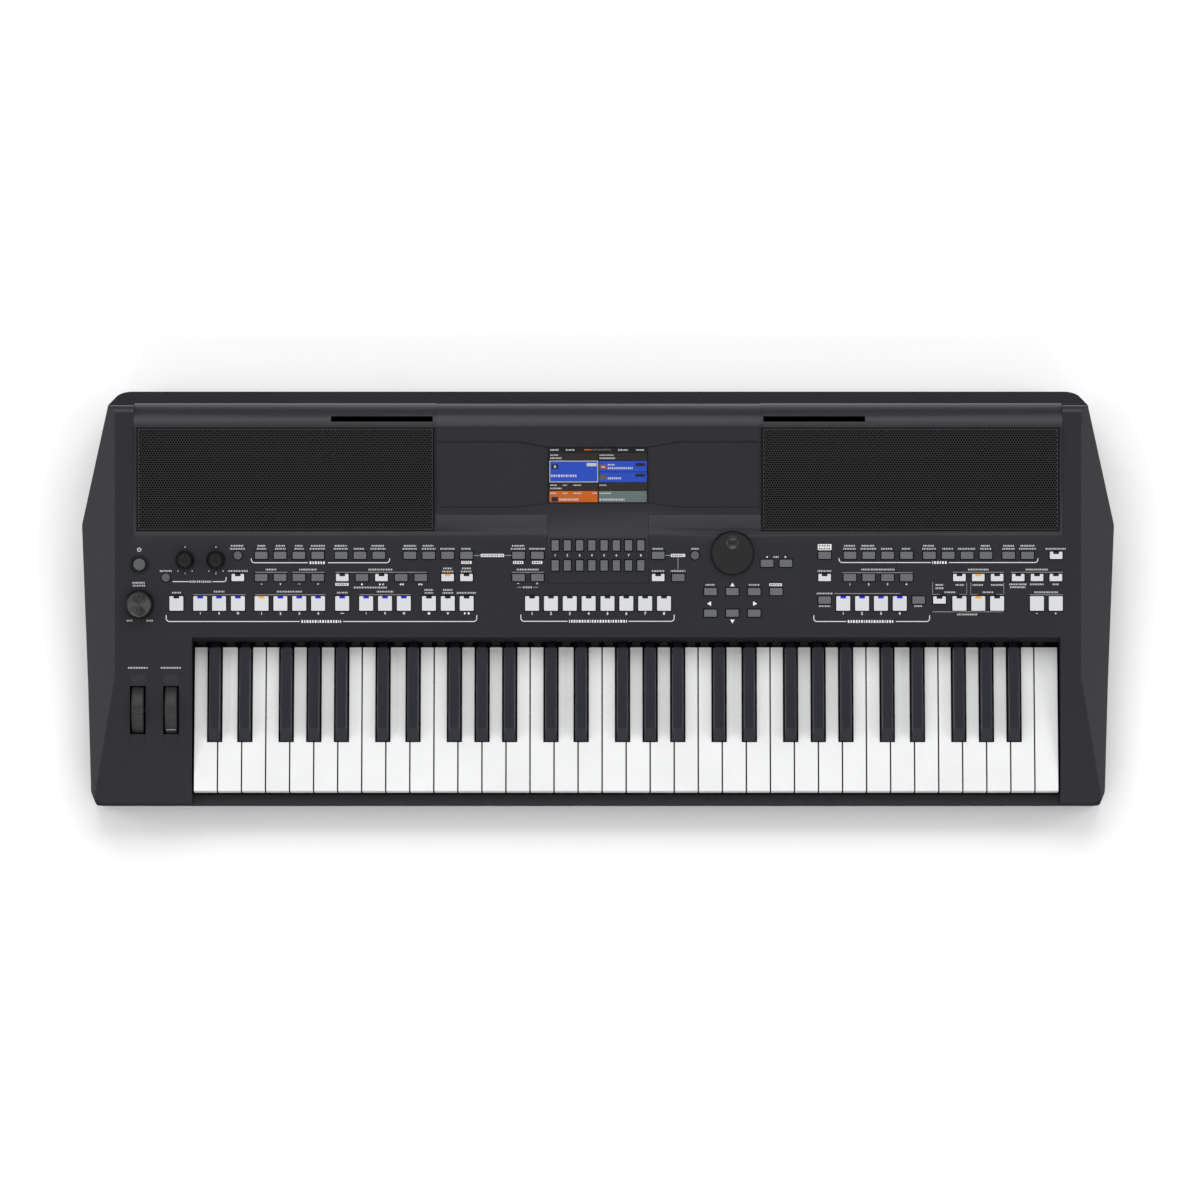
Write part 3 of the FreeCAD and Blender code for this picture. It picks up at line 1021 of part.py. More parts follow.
# Rear connections: a recessed tray in the lower case window, five phone jacks, four sockets and a gain knob.
BAY_REAR = f"({REAR} - Sizes.wall - 0.2)"
PLATE_REAR = f"({BAY_REAR} - Sizes.jack_bay_depth + 2)"
PLATE_FACE = f"({PLATE_REAR} - 2)"
PHONE_JACKS = {"microphone": -434, "pedal_1": -382, "pedal_2": -354, "output_right": -326,
               "output_left": -298}
SOCKETS = {"aux": (-274, 8, 9, 14), "usb_computer": (-252, 12, 11, 16), "usb_storage": (-228, 14.6, 7.4, 18),
           "power_inlet": (-200, 10, 11, 14)}
GAIN_X = "-408"
plate_body = new_body("jack_plate")
tray_sketch = flat_sketch(plate_body, "jack_tray", "XZ_Plane", f"-{BAY_REAR}")
box_outline(tray_sketch, "-Sizes.jack_bay_left - 2", "-Sizes.jack_bay_right + 2", f"{BAY_LOW} - 1.4",
            f"{BAY_HIGH} + 1.4")
pad(plate_body, tray_sketch, s("jack_bay_depth"))
bay = flat_sketch(plate_body, "jack_bay", "XZ_Plane", f"-{BAY_REAR}")
box_outline(bay, "-Sizes.jack_bay_left", "-Sizes.jack_bay_right", BAY_LOW, BAY_HIGH)
pocket(plate_body, bay, "Sizes.jack_bay_depth - 2", back=True)
holes = flat_sketch(plate_body, "jack_holes", "XZ_Plane", f"-{BAY_REAR}")
hole_rings = [(str(across), s("jack_height"), "Sizes.jack_bush + 0.2") for across in PHONE_JACKS.values()]
hole_rings += [(GAIN_X, s("jack_height"), "3.4"), (str(SOCKETS["aux"][0]), s("jack_height"), "3.7"),
               (str(SOCKETS["power_inlet"][0]), s("jack_height"), "4.7")]
draw(holes, [corner_box(f"{SOCKETS[name][0]} - {SOCKETS[name][1] / 2 + 0.2}",
                        f"{SOCKETS[name][0]} + {SOCKETS[name][1] / 2 + 0.2}",
                        f"Sizes.jack_height - {SOCKETS[name][2] / 2 + 0.2}",
                        f"Sizes.jack_height + {SOCKETS[name][2] / 2 + 0.2}")
             for name in ("usb_computer", "usb_storage")], hole_rings)
pocket(plate_body, holes, "Sizes.jack_bay_depth + 2", back=True)
keep(plate_body, "jack_plate")
doc.recompute()


# Phone jacks: square bodies behind the tray with a round bush through it.
jack_bodies = []
for name, across in PHONE_JACKS.items():
    body = new_body("phone_jack_" + name)
    block = flat_sketch(body, f"jack_block_{name}", "XZ_Plane", f"-{PLATE_FACE} + 0.2")
    box_outline(block, f"{across} - 8", f"{across} + 8", "Sizes.jack_height - 7.4", "Sizes.jack_height + 7")
    pad(body, block, s("jack_length"))
    bush = flat_sketch(body, f"jack_bush_{name}", "XZ_Plane", f"-{PLATE_REAR} - 2.5")
    ring_outline(bush, str(across), s("jack_height"), s("jack_bush"))
    pad(body, bush, "8")
    bore = flat_sketch(body, f"jack_bore_{name}", "XZ_Plane", f"-{PLATE_REAR} - 4")
    ring_outline(bore, str(across), s("jack_height"), s("jack_bore"))
    pocket(body, bore, "Sizes.jack_length + 2", back=True)
    jack_bodies.append(body)
phone_jacks = doc.addObject("Part::Compound", "phone_jacks")
phone_jacks.Links = jack_bodies
keep(phone_jacks, "phone_jacks")

# Small sockets: mini jack, two data sockets and the barrel inlet for the power adaptor.
socket_bodies = []
for name, (across, width, height, length) in SOCKETS.items():
    body = new_body("socket_" + name)
    face = f"{PLATE_FACE} - 0.2"
    if name.startswith("usb"):
        face = f"{PLATE_REAR} + 0.5"
    block = flat_sketch(body, f"socket_block_{name}", "XZ_Plane", f"-({face})")
    box_outline(block, f"{across} - {width / 2}", f"{across} + {width / 2}",
                f"Sizes.jack_height - {height / 2}",
                f"Sizes.jack_height + {height / 2}")
    pad(body, block, str(length))
    mouth = flat_sketch(body, f"socket_mouth_{name}", "XZ_Plane", f"-({PLATE_REAR} + 4)")
    if name.startswith("usb"):
        box_outline(mouth, f"{across} - {width / 2 - 1}", f"{across} + {width / 2 - 1}",
                    f"Sizes.jack_height - {height / 2 - 1}", f"Sizes.jack_height + {height / 2 - 1}")
        pocket(body, mouth, f"{length} - 1", back=True)
        key = flat_sketch(body, f"socket_tongue_{name}", "XZ_Plane", f"-({PLATE_REAR} - 2)")
        thick = 2.9 if name == "usb_computer" else 1
        shift = 0 if name == "usb_computer" else 1.2
        box_outline(key, f"{across} - {width / 2 - 3}", f"{across} + {width / 2 - 3}",
                    f"Sizes.jack_height + {shift - thick / 2}", f"Sizes.jack_height + {shift + thick / 2}")
        pad(body, key, f"{length} - 3.5")
    else:
        radius = 3.5 if name == "aux" else 4.5
        collar = flat_sketch(body, f"socket_collar_{name}", "XZ_Plane", f"-({PLATE_REAR} + 0.5)")
        ring_outline(collar, str(across), s("jack_height"), str(radius))
        pad(body, collar, "4")
        ring_outline(mouth, str(across), s("jack_height"), "1.8" if name == "aux" else "2.9")
        pocket(body, mouth, "14", back=True)
    if name == "power_inlet":
        pin = flat_sketch(body, "power_pin", "XZ_Plane", f"-({PLATE_REAR} - 1)")
        ring_outline(pin, str(across), s("jack_height"), "1")
        pad(body, pin, "10")
    socket_bodies.append(body)
rear_sockets = doc.addObject("Part::Compound", "rear_sockets")
rear_sockets.Links = socket_bodies
keep(rear_sockets, "rear_sockets")

# Gain knob: small knob in the jack tray; its shaft turns in a bush on the jack board.
gain_knob = new_body("gain_knob")
gain_knob.Placement = FreeCAD.Placement(FreeCAD.Vector(), FreeCAD.Rotation(FreeCAD.Vector(1, 0, 0), -90))
bind(gain_knob, Placement__Base__x=GAIN_X, Placement__Base__y=PLATE_REAR, Placement__Base__z=s("jack_height"))
turned(gain_knob, "gain_section", [("0", "-14"), (s("shaft_radius"), "-14"), (s("shaft_radius"), "0.5"),
                                   ("5.5", "0.5"),
                                   ("5.2", "5.4"), ("4.6", "6"), ("0", "6")])
keep(gain_knob, "gain_knob")

# Jack board: under the jacks, carrying the gain control's bush.
JACK_BOARD_TOP = "(Sizes.jack_height - 7.6)"
jack_pcb = plain_box("jack_pcb", "-Sizes.jack_bay_left + 4", "-Sizes.jack_bay_right - 4",
                     f"{PLATE_FACE} - 32",
                     f"{PLATE_FACE} - 0.4", f"{JACK_BOARD_TOP} - Sizes.board_thickness", JACK_BOARD_TOP)
gain_block = plain_box("gain_block", f"{GAIN_X} - 5", f"{GAIN_X} + 5", f"{PLATE_FACE} - 11",
                       f"{PLATE_FACE} - 0.3",
                       f"{JACK_BOARD_TOP} - 0.5", "Sizes.jack_height + 5")
gain_bore = doc.addObject("Part::Cylinder", "gain_bore")
gain_bore.Placement = FreeCAD.Placement(FreeCAD.Vector(), FreeCAD.Rotation(FreeCAD.Vector(1, 0, 0), -90))
bind(gain_bore, Radius="Sizes.shaft_radius + Sizes.shaft_clearance", Height="40", Placement__Base__x=GAIN_X,
     Placement__Base__y=f"{PLATE_FACE} - 20", Placement__Base__z=s("jack_height"))
keep(boolean("Cut", "jack_board", fuse_all("jack_board_blank", [jack_pcb, gain_block]), gain_bore),
     "jack_board")

# Main and amplifier boards: circuit boards on posts of the lower case, with their largest parts.
BOARD_PARTS = {"main_board": [(-40, 0, 90, 130, 4), (20, 45, 100, 125, 3), (60, 95, 70, 90, 10)],
               "amplifier_board": [(200, 320, 128, 134, 26), (210, 235, 75, 100, 22),
                                   (250, 275, 75, 100, 22)]}
for name, (left, right, front, rear) in BOARDS.items():
    layers = [plain_box(name + "_sheet", str(left), str(right), str(front), str(rear), BOARD_Z,
                        f"{BOARD_Z} + Sizes.board_thickness")]
    for number, (west, east, south, north, height) in enumerate(BOARD_PARTS[name]):
        layers.append(plain_box(f"{name}_part_{number}", str(west), str(east), str(south), str(north),
                                f"{BOARD_Z} + 1",
                                f"{BOARD_Z} + Sizes.board_thickness + {height}"))
    if name == "amplifier_board":
        for number in range(11):
            layers.append(plain_box(f"heat_fin_{number}", f"{202 + 11 * number}", f"{204 + 11 * number}",
                                    "133", "145",
                                    f"{BOARD_Z} + 1", f"{BOARD_Z} + Sizes.board_thickness + 26"))
    keep(fuse_all(name + "_built", layers), name)

# Feet and screws: six rubber feet under the floor and nine screws in the wells of the lower case.
feet = []
for side in ("-1", "1"):
    for along in (f"{FRONT} + 45", "0", f"{REAR} - 60"):
        foot = new_body(f"foot_{len(feet)}")
        bind(foot, Placement__Base__x=f"{side} * (Sizes.case_width / 2 - 75)", Placement__Base__y=along)
        turned(foot, f"foot_section_{len(feet)}", [("0", "0"), ("Sizes.foot_radius - 1.5", "0"),
                                                    (s("foot_radius"), "1.5"),
                                                   (s("foot_radius"), s("foot_height")),
                                                    ("0", s("foot_height"))])
        feet.append(foot)
screws = []
STEP = "(Sizes.parting_height - 6)"
for number, (across, along) in enumerate(SCREWS):
    screw = new_body(f"screw_{number}")
    bind(screw, Placement__Base__x=across, Placement__Base__y=along, Placement__Base__z=STEP)
    turned(screw, f"screw_section_{number}", [("0", "-3"), (s("screw_head"), "-3"), (s("screw_head"), "0"),
                                               (s("screw_shank"), "0"), (s("screw_shank"), "18"),
                                              ("0", "19.5")])
    slot = flat_sketch(screw, f"screw_drive_{number}", "XY_Plane", "-3")
    draw(slot, [corner_box("-2.6", "2.6", "-0.5", "0.5")])
    pocket(screw, slot, "1.6", back=True)
    screws.append(screw)
for label, bodies in (("rubber_feet", feet), ("case_screws", screws)):
    group = doc.addObject("Part::Compound", label)
    group.Links = bodies
    keep(group, label)
doc.recompute()

# Every feature and piece is checked before the files are written.
for thing in doc.Objects:
    if "Invalid" in thing.State or "Error" in thing.State:
        raise RuntimeError(f"{thing.Name} did not build: {thing.State}")
for thing in pieces:
    if thing.Shape.isNull() or not thing.Shape.isValid() or not thing.Shape.Solids:
        raise RuntimeError(f"{thing.Label} has no sound solid")
os.makedirs("parts", exist_ok=True)
for thing in pieces:
    thing.Shape.exportStep(f"parts/{thing.Label}.step")
for thing in pieces:
    box = thing.Shape.BoundBox
    print(thing.Label, len(thing.Shape.Solids), round(thing.Shape.Volume),
          [round(v, 1) for v in (box.XMin, box.XMax, box.YMin, box.YMax, box.ZMin, box.ZMax)])
print(len(pieces), "pieces")
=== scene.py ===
import math

import bmesh
import bpy
from mathutils import Matrix, Vector


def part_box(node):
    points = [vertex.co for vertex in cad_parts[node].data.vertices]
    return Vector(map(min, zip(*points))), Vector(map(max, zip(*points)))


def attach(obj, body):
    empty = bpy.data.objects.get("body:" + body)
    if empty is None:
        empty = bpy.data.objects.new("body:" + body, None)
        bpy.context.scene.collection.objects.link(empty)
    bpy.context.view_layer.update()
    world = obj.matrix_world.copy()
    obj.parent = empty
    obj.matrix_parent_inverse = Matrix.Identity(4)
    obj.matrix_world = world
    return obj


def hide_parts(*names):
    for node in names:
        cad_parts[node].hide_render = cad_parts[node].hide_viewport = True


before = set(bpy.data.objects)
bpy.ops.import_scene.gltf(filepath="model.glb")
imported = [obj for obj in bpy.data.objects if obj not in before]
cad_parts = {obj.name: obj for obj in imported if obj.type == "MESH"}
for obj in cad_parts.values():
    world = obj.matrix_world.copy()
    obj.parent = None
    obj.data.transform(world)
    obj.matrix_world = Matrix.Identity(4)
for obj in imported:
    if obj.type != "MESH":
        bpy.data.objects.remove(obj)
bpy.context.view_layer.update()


# Lower case: a shallow tray injection moulded in charcoal plastic with a fine eroded grain.
# Its posts carry the keybed and the boards, and nine screws pull it up to the upper case.
# The upright walls of both cases have a coarser grain, which takes the gloss away, and are painted lighter
# as painted light.
CLOUD_SCALE, CLOUD_DETAIL, CLOUD_DEPTH = 18, 5, 0.1
GRAIN_DETAIL, GRAIN_STRENGTH = 3, 0.6
GLOSSIEST, DULLEST = -0.05, 0.07
WELD_REACH = 0.000002
ROUNDED_ANGLE = math.radians(40)
CRISP_ANGLE = math.radians(32)
WALL_LEAN = 0.4


def surface_of(finish):
    return finish.node_tree.nodes["Principled BSDF"]


def node_of(finish, kind):
    return next(node for node in finish.node_tree.nodes if node.type == kind)


def grained_finish(name, colour, dullness, grain_mm, grain_depth_mm, shine=0.5, metal=0.0):
    """Surface with a fine grain, faint clouds in its colour and a slightly uneven gloss."""
    finish = bpy.data.materials.new(name)
    finish.use_nodes = True
    nodes, links = finish.node_tree.nodes, finish.node_tree.links
    surface = surface_of(finish)
    surface.inputs["Specular IOR Level"].default_value = shine
    surface.inputs["Metallic"].default_value = metal
    place = nodes.new("ShaderNodeTexCoord")
    grain = nodes.new("ShaderNodeTexNoise")
    grain.inputs["Scale"].default_value = 1000 / grain_mm
    grain.inputs["Detail"].default_value = GRAIN_DETAIL
    clouds = nodes.new("ShaderNodeTexNoise")
    clouds.inputs["Scale"].default_value = CLOUD_SCALE
    clouds.inputs["Detail"].default_value = CLOUD_DETAIL
    for pattern in (grain, clouds):
        links.new(place.outputs["Object"], pattern.inputs["Vector"])
    tone = nodes.new("ShaderNodeMix")
    tone.data_type = "RGBA"
    tone.inputs["A"].default_value = (*[part * (1 - CLOUD_DEPTH) for part in colour], 1)
    tone.inputs["B"].default_value = (*[min(1, part * (1 + CLOUD_DEPTH)) for part in colour], 1)
    links.new(clouds.outputs["Fac"], tone.inputs["Factor"])
    links.new(tone.outputs["Result"], surface.inputs["Base Color"])
    gloss = nodes.new("ShaderNodeMapRange")
    gloss.inputs["To Min"].default_value = dullness + GLOSSIEST
    gloss.inputs["To Max"].default_value = dullness + DULLEST
    links.new(grain.outputs["Fac"], gloss.inputs["Value"])
    links.new(gloss.outputs["Result"], surface.inputs["Roughness"])
    relief = nodes.new("ShaderNodeBump")
    relief.inputs["Distance"].default_value = grain_depth_mm / 1000
    relief.inputs["Strength"].default_value = GRAIN_STRENGTH
    links.new(grain.outputs["Fac"], relief.inputs["Height"])
    links.new(relief.outputs["Normal"], surface.inputs["Normal"])
    return finish


def dress(node, finish, edge_mm=0.0):
    """Gives a CAD node its finish, rounds its edges where a width is stated, and returns its mesh."""
    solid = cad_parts[node]
    solid.data.materials.clear()
    solid.data.materials.append(finish)
    solid.data.shade_smooth()
    weld = solid.modifiers.new("weld", "WELD")
    weld.merge_threshold = WELD_REACH
    if edge_mm:
        rounding = solid.modifiers.new("edge_rounding", "BEVEL")
        rounding.width = edge_mm / 1000
        rounding.segments = 2
        rounding.limit_method = "ANGLE"
        rounding.angle_limit = ROUNDED_ANGLE
        rounding.use_clamp_overlap = True
    split = solid.modifiers.new("crisp_edges", "EDGE_SPLIT")
    split.split_angle = CRISP_ANGLE
    flats = solid.modifiers.new("flat_faces", "WEIGHTED_NORMAL")
    flats.mode = "FACE_AREA"
    flats.weight = 100
    return solid.data


def refinish(mesh, finish, chosen):
    """Gives the chosen faces of a finished mesh another finish."""
    mesh.materials.append(finish)
    for face in mesh.polygons:
        if chosen(face):
            face.material_index = len(mesh.materials) - 1


def upright(face):
    return abs(face.normal.z) < WALL_LEAN


case_plastic = grained_finish("case_charcoal", (0.0128, 0.013, 0.017), 0.36, 0.55, 0.014, 0.3)
case_matt_painted_light = grained_finish("case_charcoal_matt_painted_light", (0.0262, 0.0268, 0.03), 0.85, 0.8, 0.08, 0.0)
# Upright faces get the matt copy, whose lighter colour is painted light on the walls.
refinish(dress("lower_case", case_plastic), case_matt_painted_light, upright)


# Feet and screws: six turned rubber pads pressed into the floor of the tray, and nine steel screws.
# The screws sit deep in wells round the edge and run up into posts of the upper case.
foot_rubber = grained_finish("foot_rubber", (0.016, 0.016, 0.016), 0.8, 0.3, 0.04, 0.3)
steel = grained_finish("bright_steel", (0.55, 0.55, 0.56), 0.28, 0.15, 0.004, 0.5, 1.0)
dress("rubber_feet", foot_rubber, 0.4)
dress("case_screws", steel)


# Inner boards: glass fibre boards with green lacquer, screwed to posts in the tray and under the panel.
# Blocks on them stand for coils, capacitors and the heat sink of the amplifier.
LACQUER, LACQUER_WORN, TRACK = (0.012, 0.07, 0.03), (0.014, 0.085, 0.036), (0.03, 0.14, 0.06)
board_green = grained_finish("board_green", LACQUER, 0.35, 0.6, 0.01)
tracks = board_green.node_tree.nodes.new("ShaderNodeTexBrick")
tracks.inputs["Scale"].default_value = 160
tracks.inputs["Mortar Size"].default_value = 0.06
for socket, colour in (("Color1", LACQUER), ("Color2", LACQUER_WORN), ("Mortar", TRACK)):
    tracks.inputs[socket].default_value = (*colour, 1)
board_links = board_green.node_tree.links
board_links.new(node_of(board_green, "TEX_COORD").outputs["Object"], tracks.inputs["Vector"])
board_links.new(tracks.outputs["Color"], surface_of(board_green).inputs["Base Color"])
for node in ("main_board", "amplifier_board", "panel_boards", "jack_board", "key_contact_board"):
    dress(node, board_green)


# Keybed: a long moulded frame with a ground steel rod through its ribs, a felt strip that stops the
# keys, and the contact board with its two silicone rubber strips.
frame_plastic = grained_finish("keybed_dark", (0.014, 0.014, 0.015), 0.5, 0.8, 0.03, 0.4)
felt_dark = grained_finish("felt_dark", (0.02, 0.02, 0.022), 0.92, 0.5, 0.25, 0.1)
contact_rubber = grained_finish("contact_rubber", (0.4, 0.4, 0.39), 0.7, 0.5, 0.02, 0.3)
dress("key_frame", frame_plastic)
dress("key_pivot_rod", steel)
dress("key_felt", felt_dark, 0.4)
dress("rubber_contacts", contact_rubber, 0.3)


# White and black keys: hollow mouldings hinged on the rod, the whites polished, the blacks satin.
# The five keys of one note name are one body with broken edges. Only the plates of the whites are white;
# their tails under the panel are painted dark as painted shade.
KEY_PLATE_REAR = -52.9
key_white = grained_finish("key_white", (0.728, 0.733, 0.733), 0.2, 2.5, 0.004, 0.4)
key_tail_painted_shade = grained_finish("key_tail_painted_shade", (0.02, 0.02, 0.021), 0.5, 0.6, 0.01, 0.3)
key_black = grained_finish("key_black", (0.0075, 0.0082, 0.0145), 0.3, 0.4, 0.008, 0.28)
# Faces behind the rear of the plates get painted shade, where the panel's lip shades the tails.
for node in ["white_keys_" + note for note in "cdefgab"] + ["white_key_top_c"]:
    refinish(dress(node, key_white, 0.6), key_tail_painted_shade, lambda face: face.center.y * 1000 > KEY_PLATE_REAR)
for note in ("c_sharp", "d_sharp", "f_sharp", "g_sharp", "a_sharp"):
    dress("black_keys_" + note, key_black, 0.7)


# Pitch and modulation wheels: turned discs of dark rubbery plastic on short axles, smooth at the rim.
# The pitch wheel has a thumb notch between two ridges, the modulation wheel a pale line.
def mesh_from(name, bm):
    mesh = bpy.data.meshes.new(name)
    bm.to_mesh(mesh)
    bm.free()
    return mesh


def plain_rim(angle, radius, height):
    return radius


def turned(name, section, steps, rim=plain_rim):
    """Mesh turned about its own Z from points of radius and height in mm; rim gives the final radius."""
    bm = bmesh.new()
    rings = []
    for step in range(steps):
        angle = 2 * math.pi * step / steps
        ring = []
        for radius, height in section:
            reach = rim(angle, radius, height) / 1000
            ring.append(bm.verts.new((reach * math.cos(angle), reach * math.sin(angle), height / 1000)))
        rings.append(ring)
    for ring, following in zip(rings, rings[1:] + rings[:1]):
        for low in range(len(section) - 1):
            bm.faces.new((ring[low], following[low], following[low + 1], ring[low + 1]))
    bmesh.ops.remove_doubles(bm, verts=bm.verts, dist=0.000001)
    bmesh.ops.recalc_face_normals(bm, faces=bm.faces)
    return mesh_from(name, bm)


def fit(name, mesh, finish, body, place=Matrix.Identity(4)):
    """Puts a finished mesh in its place and lets it ride on the body that carries it."""
    mesh.materials.append(finish)
    mesh.shade_smooth()
    mesh.set_sharp_from_angle(angle=CRISP_ANGLE)
    piece = bpy.data.objects.new(name, mesh)
    bpy.context.collection.objects.link(piece)
    piece.matrix_world = place
    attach(piece, body)
    return piece


WHEEL_SECTION = [(0, -9.9), (3, -9.9), (3, -5.9), (24.4, -5.9), (25.3, -5.6), (25.8, -5.0), (26, -4.2),
                 (26, 0), (26, 4.2), (25.8, 5.0), (25.3, 5.6), (24.4, 5.9), (3, 5.9), (3, 9.9), (0, 9.9)]
WHEEL_AXES = Matrix(((0, 0, 1, 0), (1, 0, 0, 0), (0, 1, 0, 0), (0, 0, 0, 1)))
PANEL_SLOPE = math.radians(11)
WHEEL_CROWN = math.pi / 2 + PANEL_SLOPE
RIM_INSIDE = 24
NOTCH_END, RIDGE_TOP, RIDGE_END = 8, 10, 12
NOTCH_DEPTH, RIDGE_HEIGHT = 1.9, 0.5


def notched_rim(angle, radius, height):
    """Thumb notch at the crown between two ridges, with the rest of the rim set back."""
    away = abs(math.degrees(angle - WHEEL_CROWN))
    if radius < RIM_INSIDE:
        return radius
    if away > RIDGE_END:
        return radius - RIDGE_HEIGHT
    if away > NOTCH_END:
        return radius - RIDGE_HEIGHT * abs(away - RIDGE_TOP) / 2
    return radius - NOTCH_DEPTH * (1 - (away / NOTCH_END) ** 2) ** 0.5


wheel_rubber = grained_finish("wheel_rubber", (0.014, 0.014, 0.015), 0.5, 0.3, 0.03, 0.4)
white_ink = grained_finish("white_ink", (0.72, 0.72, 0.72), 0.6, 0.4, 0.004, 0.3)
wheel_places = {}
for node, rim in (("pitch_wheel", notched_rim), ("modulation_wheel", plain_rim)):
    low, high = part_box(node)
    wheel_places[node] = Matrix.Translation((low + high) / 2) @ WHEEL_AXES
    disc = turned(node, WHEEL_SECTION, 360, rim)
    wheel = fit(node + "_turned", disc, wheel_rubber, node, wheel_places[node])
    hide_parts(node)

LINE_FROM_CROWN, LINE_STEP = 46, 0.55
LINE_REACH, LINE_EDGE_REACH, LINE_HALF_WIDTH = 26.02, 25.4, 4.4
line_bm = bmesh.new()
line_rows = []
for step in range(5):
    angle = WHEEL_CROWN + math.radians(LINE_FROM_CROWN + LINE_STEP * step)
    reach = (LINE_REACH if 0 < step < 4 else LINE_EDGE_REACH) / 1000
    line_rows.append([line_bm.verts.new((reach * math.cos(angle), reach * math.sin(angle), height / 1000))
                      for height in (-LINE_HALF_WIDTH, 0, LINE_HALF_WIDTH)])
for row, following in zip(line_rows, line_rows[1:]):
    for side in (0, 1):
        line_bm.faces.new((row[side], row[side + 1], following[side + 1], following[side]))
fit("modulation_wheel_line", mesh_from("wheel_line", line_bm), white_ink,
    "modulation_wheel", wheel_places["modulation_wheel"])
dress("wheel_bracket", frame_plastic)


# Upper case: the moulded top shell with the sloping panel, speaker blocks, cheeks and key well.
# It drops over the keybed and is pulled down by the screws from below.
# Upright faces get the matt copy, whose lighter colour is painted light on the walls.
refinish(dress("upper_case", case_plastic), case_matt_painted_light, upright)


# Button caps: small satin mouldings standing on rubber domes in close wells of the panel.
# Most are mid grey; those that play, with a small lamp window in the far edge, are near white.
LIP_Y, LIP_Z = -47.7, 89.995
CAP_EDGE, SKIRT_TOP = 0.45, -0.4
BUTTON_PITCH = 18.25
WHITE_SONG_CAPS = (-247.6, -209.6)
CAP_REACH = 8.5


def on_panel(across, up, rise=0.0):
    """Point in metres from mm across the panel, up its slope from the lip and off its face."""
    return Vector((across, LIP_Y + up * math.cos(PANEL_SLOPE) - rise * math.sin(PANEL_SLOPE),
                   LIP_Z + up * math.sin(PANEL_SLOPE) + rise * math.cos(PANEL_SLOPE))) / 1000


def in_skirt(face):
    """True for a face of the flange under the panel."""
    rise = ((face.center.z * 1000 - LIP_Z) * math.cos(PANEL_SLOPE)
            - (face.center.y * 1000 - LIP_Y) * math.sin(PANEL_SLOPE))
    return rise < SKIRT_TOP


def on_white_song_cap(face):
    nearest = min(abs(face.center.x * 1000 - across) for across in WHITE_SONG_CAPS)
    return face.material_index == 0 and nearest < CAP_REACH


# Near black: painted shade on cap flanges, creases and grille edges; on the live knobs' pointer lines it
# is their own colour.
painted_shade_and_pointer_black = grained_finish("painted_shade_and_pointer_black", (0.004, 0.004, 0.004), 0.7, 0.4, 0.02, 0.1)
cap_grey = grained_finish("cap_grey", (0.1, 0.102, 0.11), 0.42, 0.35, 0.012, 0.4)
cap_white = grained_finish("cap_white", (0.56, 0.565, 0.575), 0.4, 0.35, 0.012, 0.4)
cap_dark = grained_finish("cap_dark", (0.075, 0.078, 0.08), 0.42, 0.35, 0.012, 0.4)
CAPS = {
    cap_grey: ("style_buttons", "song_mixer_buttons", "tempo_bank_buttons", "song_transport_buttons",
               "voice_buttons", "one_touch_buttons", "navigation_buttons", "screen_buttons"),
    cap_white: ("style_control_buttons", "registration_buttons", "multi_pad_buttons",
                "part_switch_buttons", "lamp_buttons"),
    cap_dark: ("round_buttons", "power_button"),
}
for finish, nodes in CAPS.items():
    for node in nodes:
        # The flange under the panel is near black as painted shade in the gap round each cap.
        refinish(dress(node, finish, CAP_EDGE), painted_shade_and_pointer_black, in_skirt)
refinish(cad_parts["song_transport_buttons"].data, cap_white, on_white_song_cap)


def rounded_plate(bm, across, up, low, high, width, length, corner, edge):
    """Adds a plate with rounded corners and a broken top edge, lying on the panel, in mm."""
    rings = []
    for rise, inset in ((low, 0), (high - edge, 0), (high, edge)):
        ring = []
        for quarter, (right, far) in enumerate(((1, 1), (-1, 1), (-1, -1), (1, -1))):
            for turn in (0, 30, 60, 90):
                angle = math.radians(90 * quarter + turn)
                side = right * (width / 2 - corner) + (corner - inset) * math.cos(angle)
                ahead = far * (length / 2 - corner) + (corner - inset) * math.sin(angle)
                ring.append(bm.verts.new(on_panel(across + side, up + ahead, rise)))
        rings.append(ring)
    for ring, above in zip(rings, rings[1:]):
        for point in range(len(ring)):
            after = (point + 1) % len(ring)
            bm.faces.new((ring[point], ring[after], above[after], above[point]))
    bm.faces.new(rings[-1])
    bm.faces.new(rings[0][::-1])


LENS_DULLNESS, LENS_GRAIN = 0.25, 0.8
LENS_WIDTH, LENS_LENGTH, LENS_INSET = 5.6, 2.3, 1.1
LENS_LOW, LENS_HIGH, LENS_CORNER, LENS_EDGE = 1.3, 2.1, 0.4, 0.12


def lit_lens(name, colour, light, grain_depth_mm=0.01):
    """Moulded lens over a light source, with a faint unevenness in its glow."""
    finish = grained_finish(name, colour, LENS_DULLNESS, LENS_GRAIN, grain_depth_mm)
    surface = surface_of(finish)
    finish.node_tree.links.new(node_of(finish, "MIX").outputs["Result"], surface.inputs["Emission Color"])
    surface.inputs["Emission Strength"].default_value = light
    return finish


def cap_row(first, count):
    """Middles of caps set side by side, in mm across the panel."""
    return [first + BUTTON_PITCH * number for number in range(count)]


def set_lenses(node, lens, places, cap_length):
    """Lets a lens into the far edge of each cap whose middle is given."""
    lens_bm = bmesh.new()
    for across, up in places:
        rounded_plate(lens_bm, across, up + cap_length / 2 - LENS_INSET, LENS_LOW, LENS_HIGH,
                      LENS_WIDTH, LENS_LENGTH, LENS_CORNER, LENS_EDGE)
    name = f"{node}_{lens.name}"
    fit(name, mesh_from(name, lens_bm), lens, node)


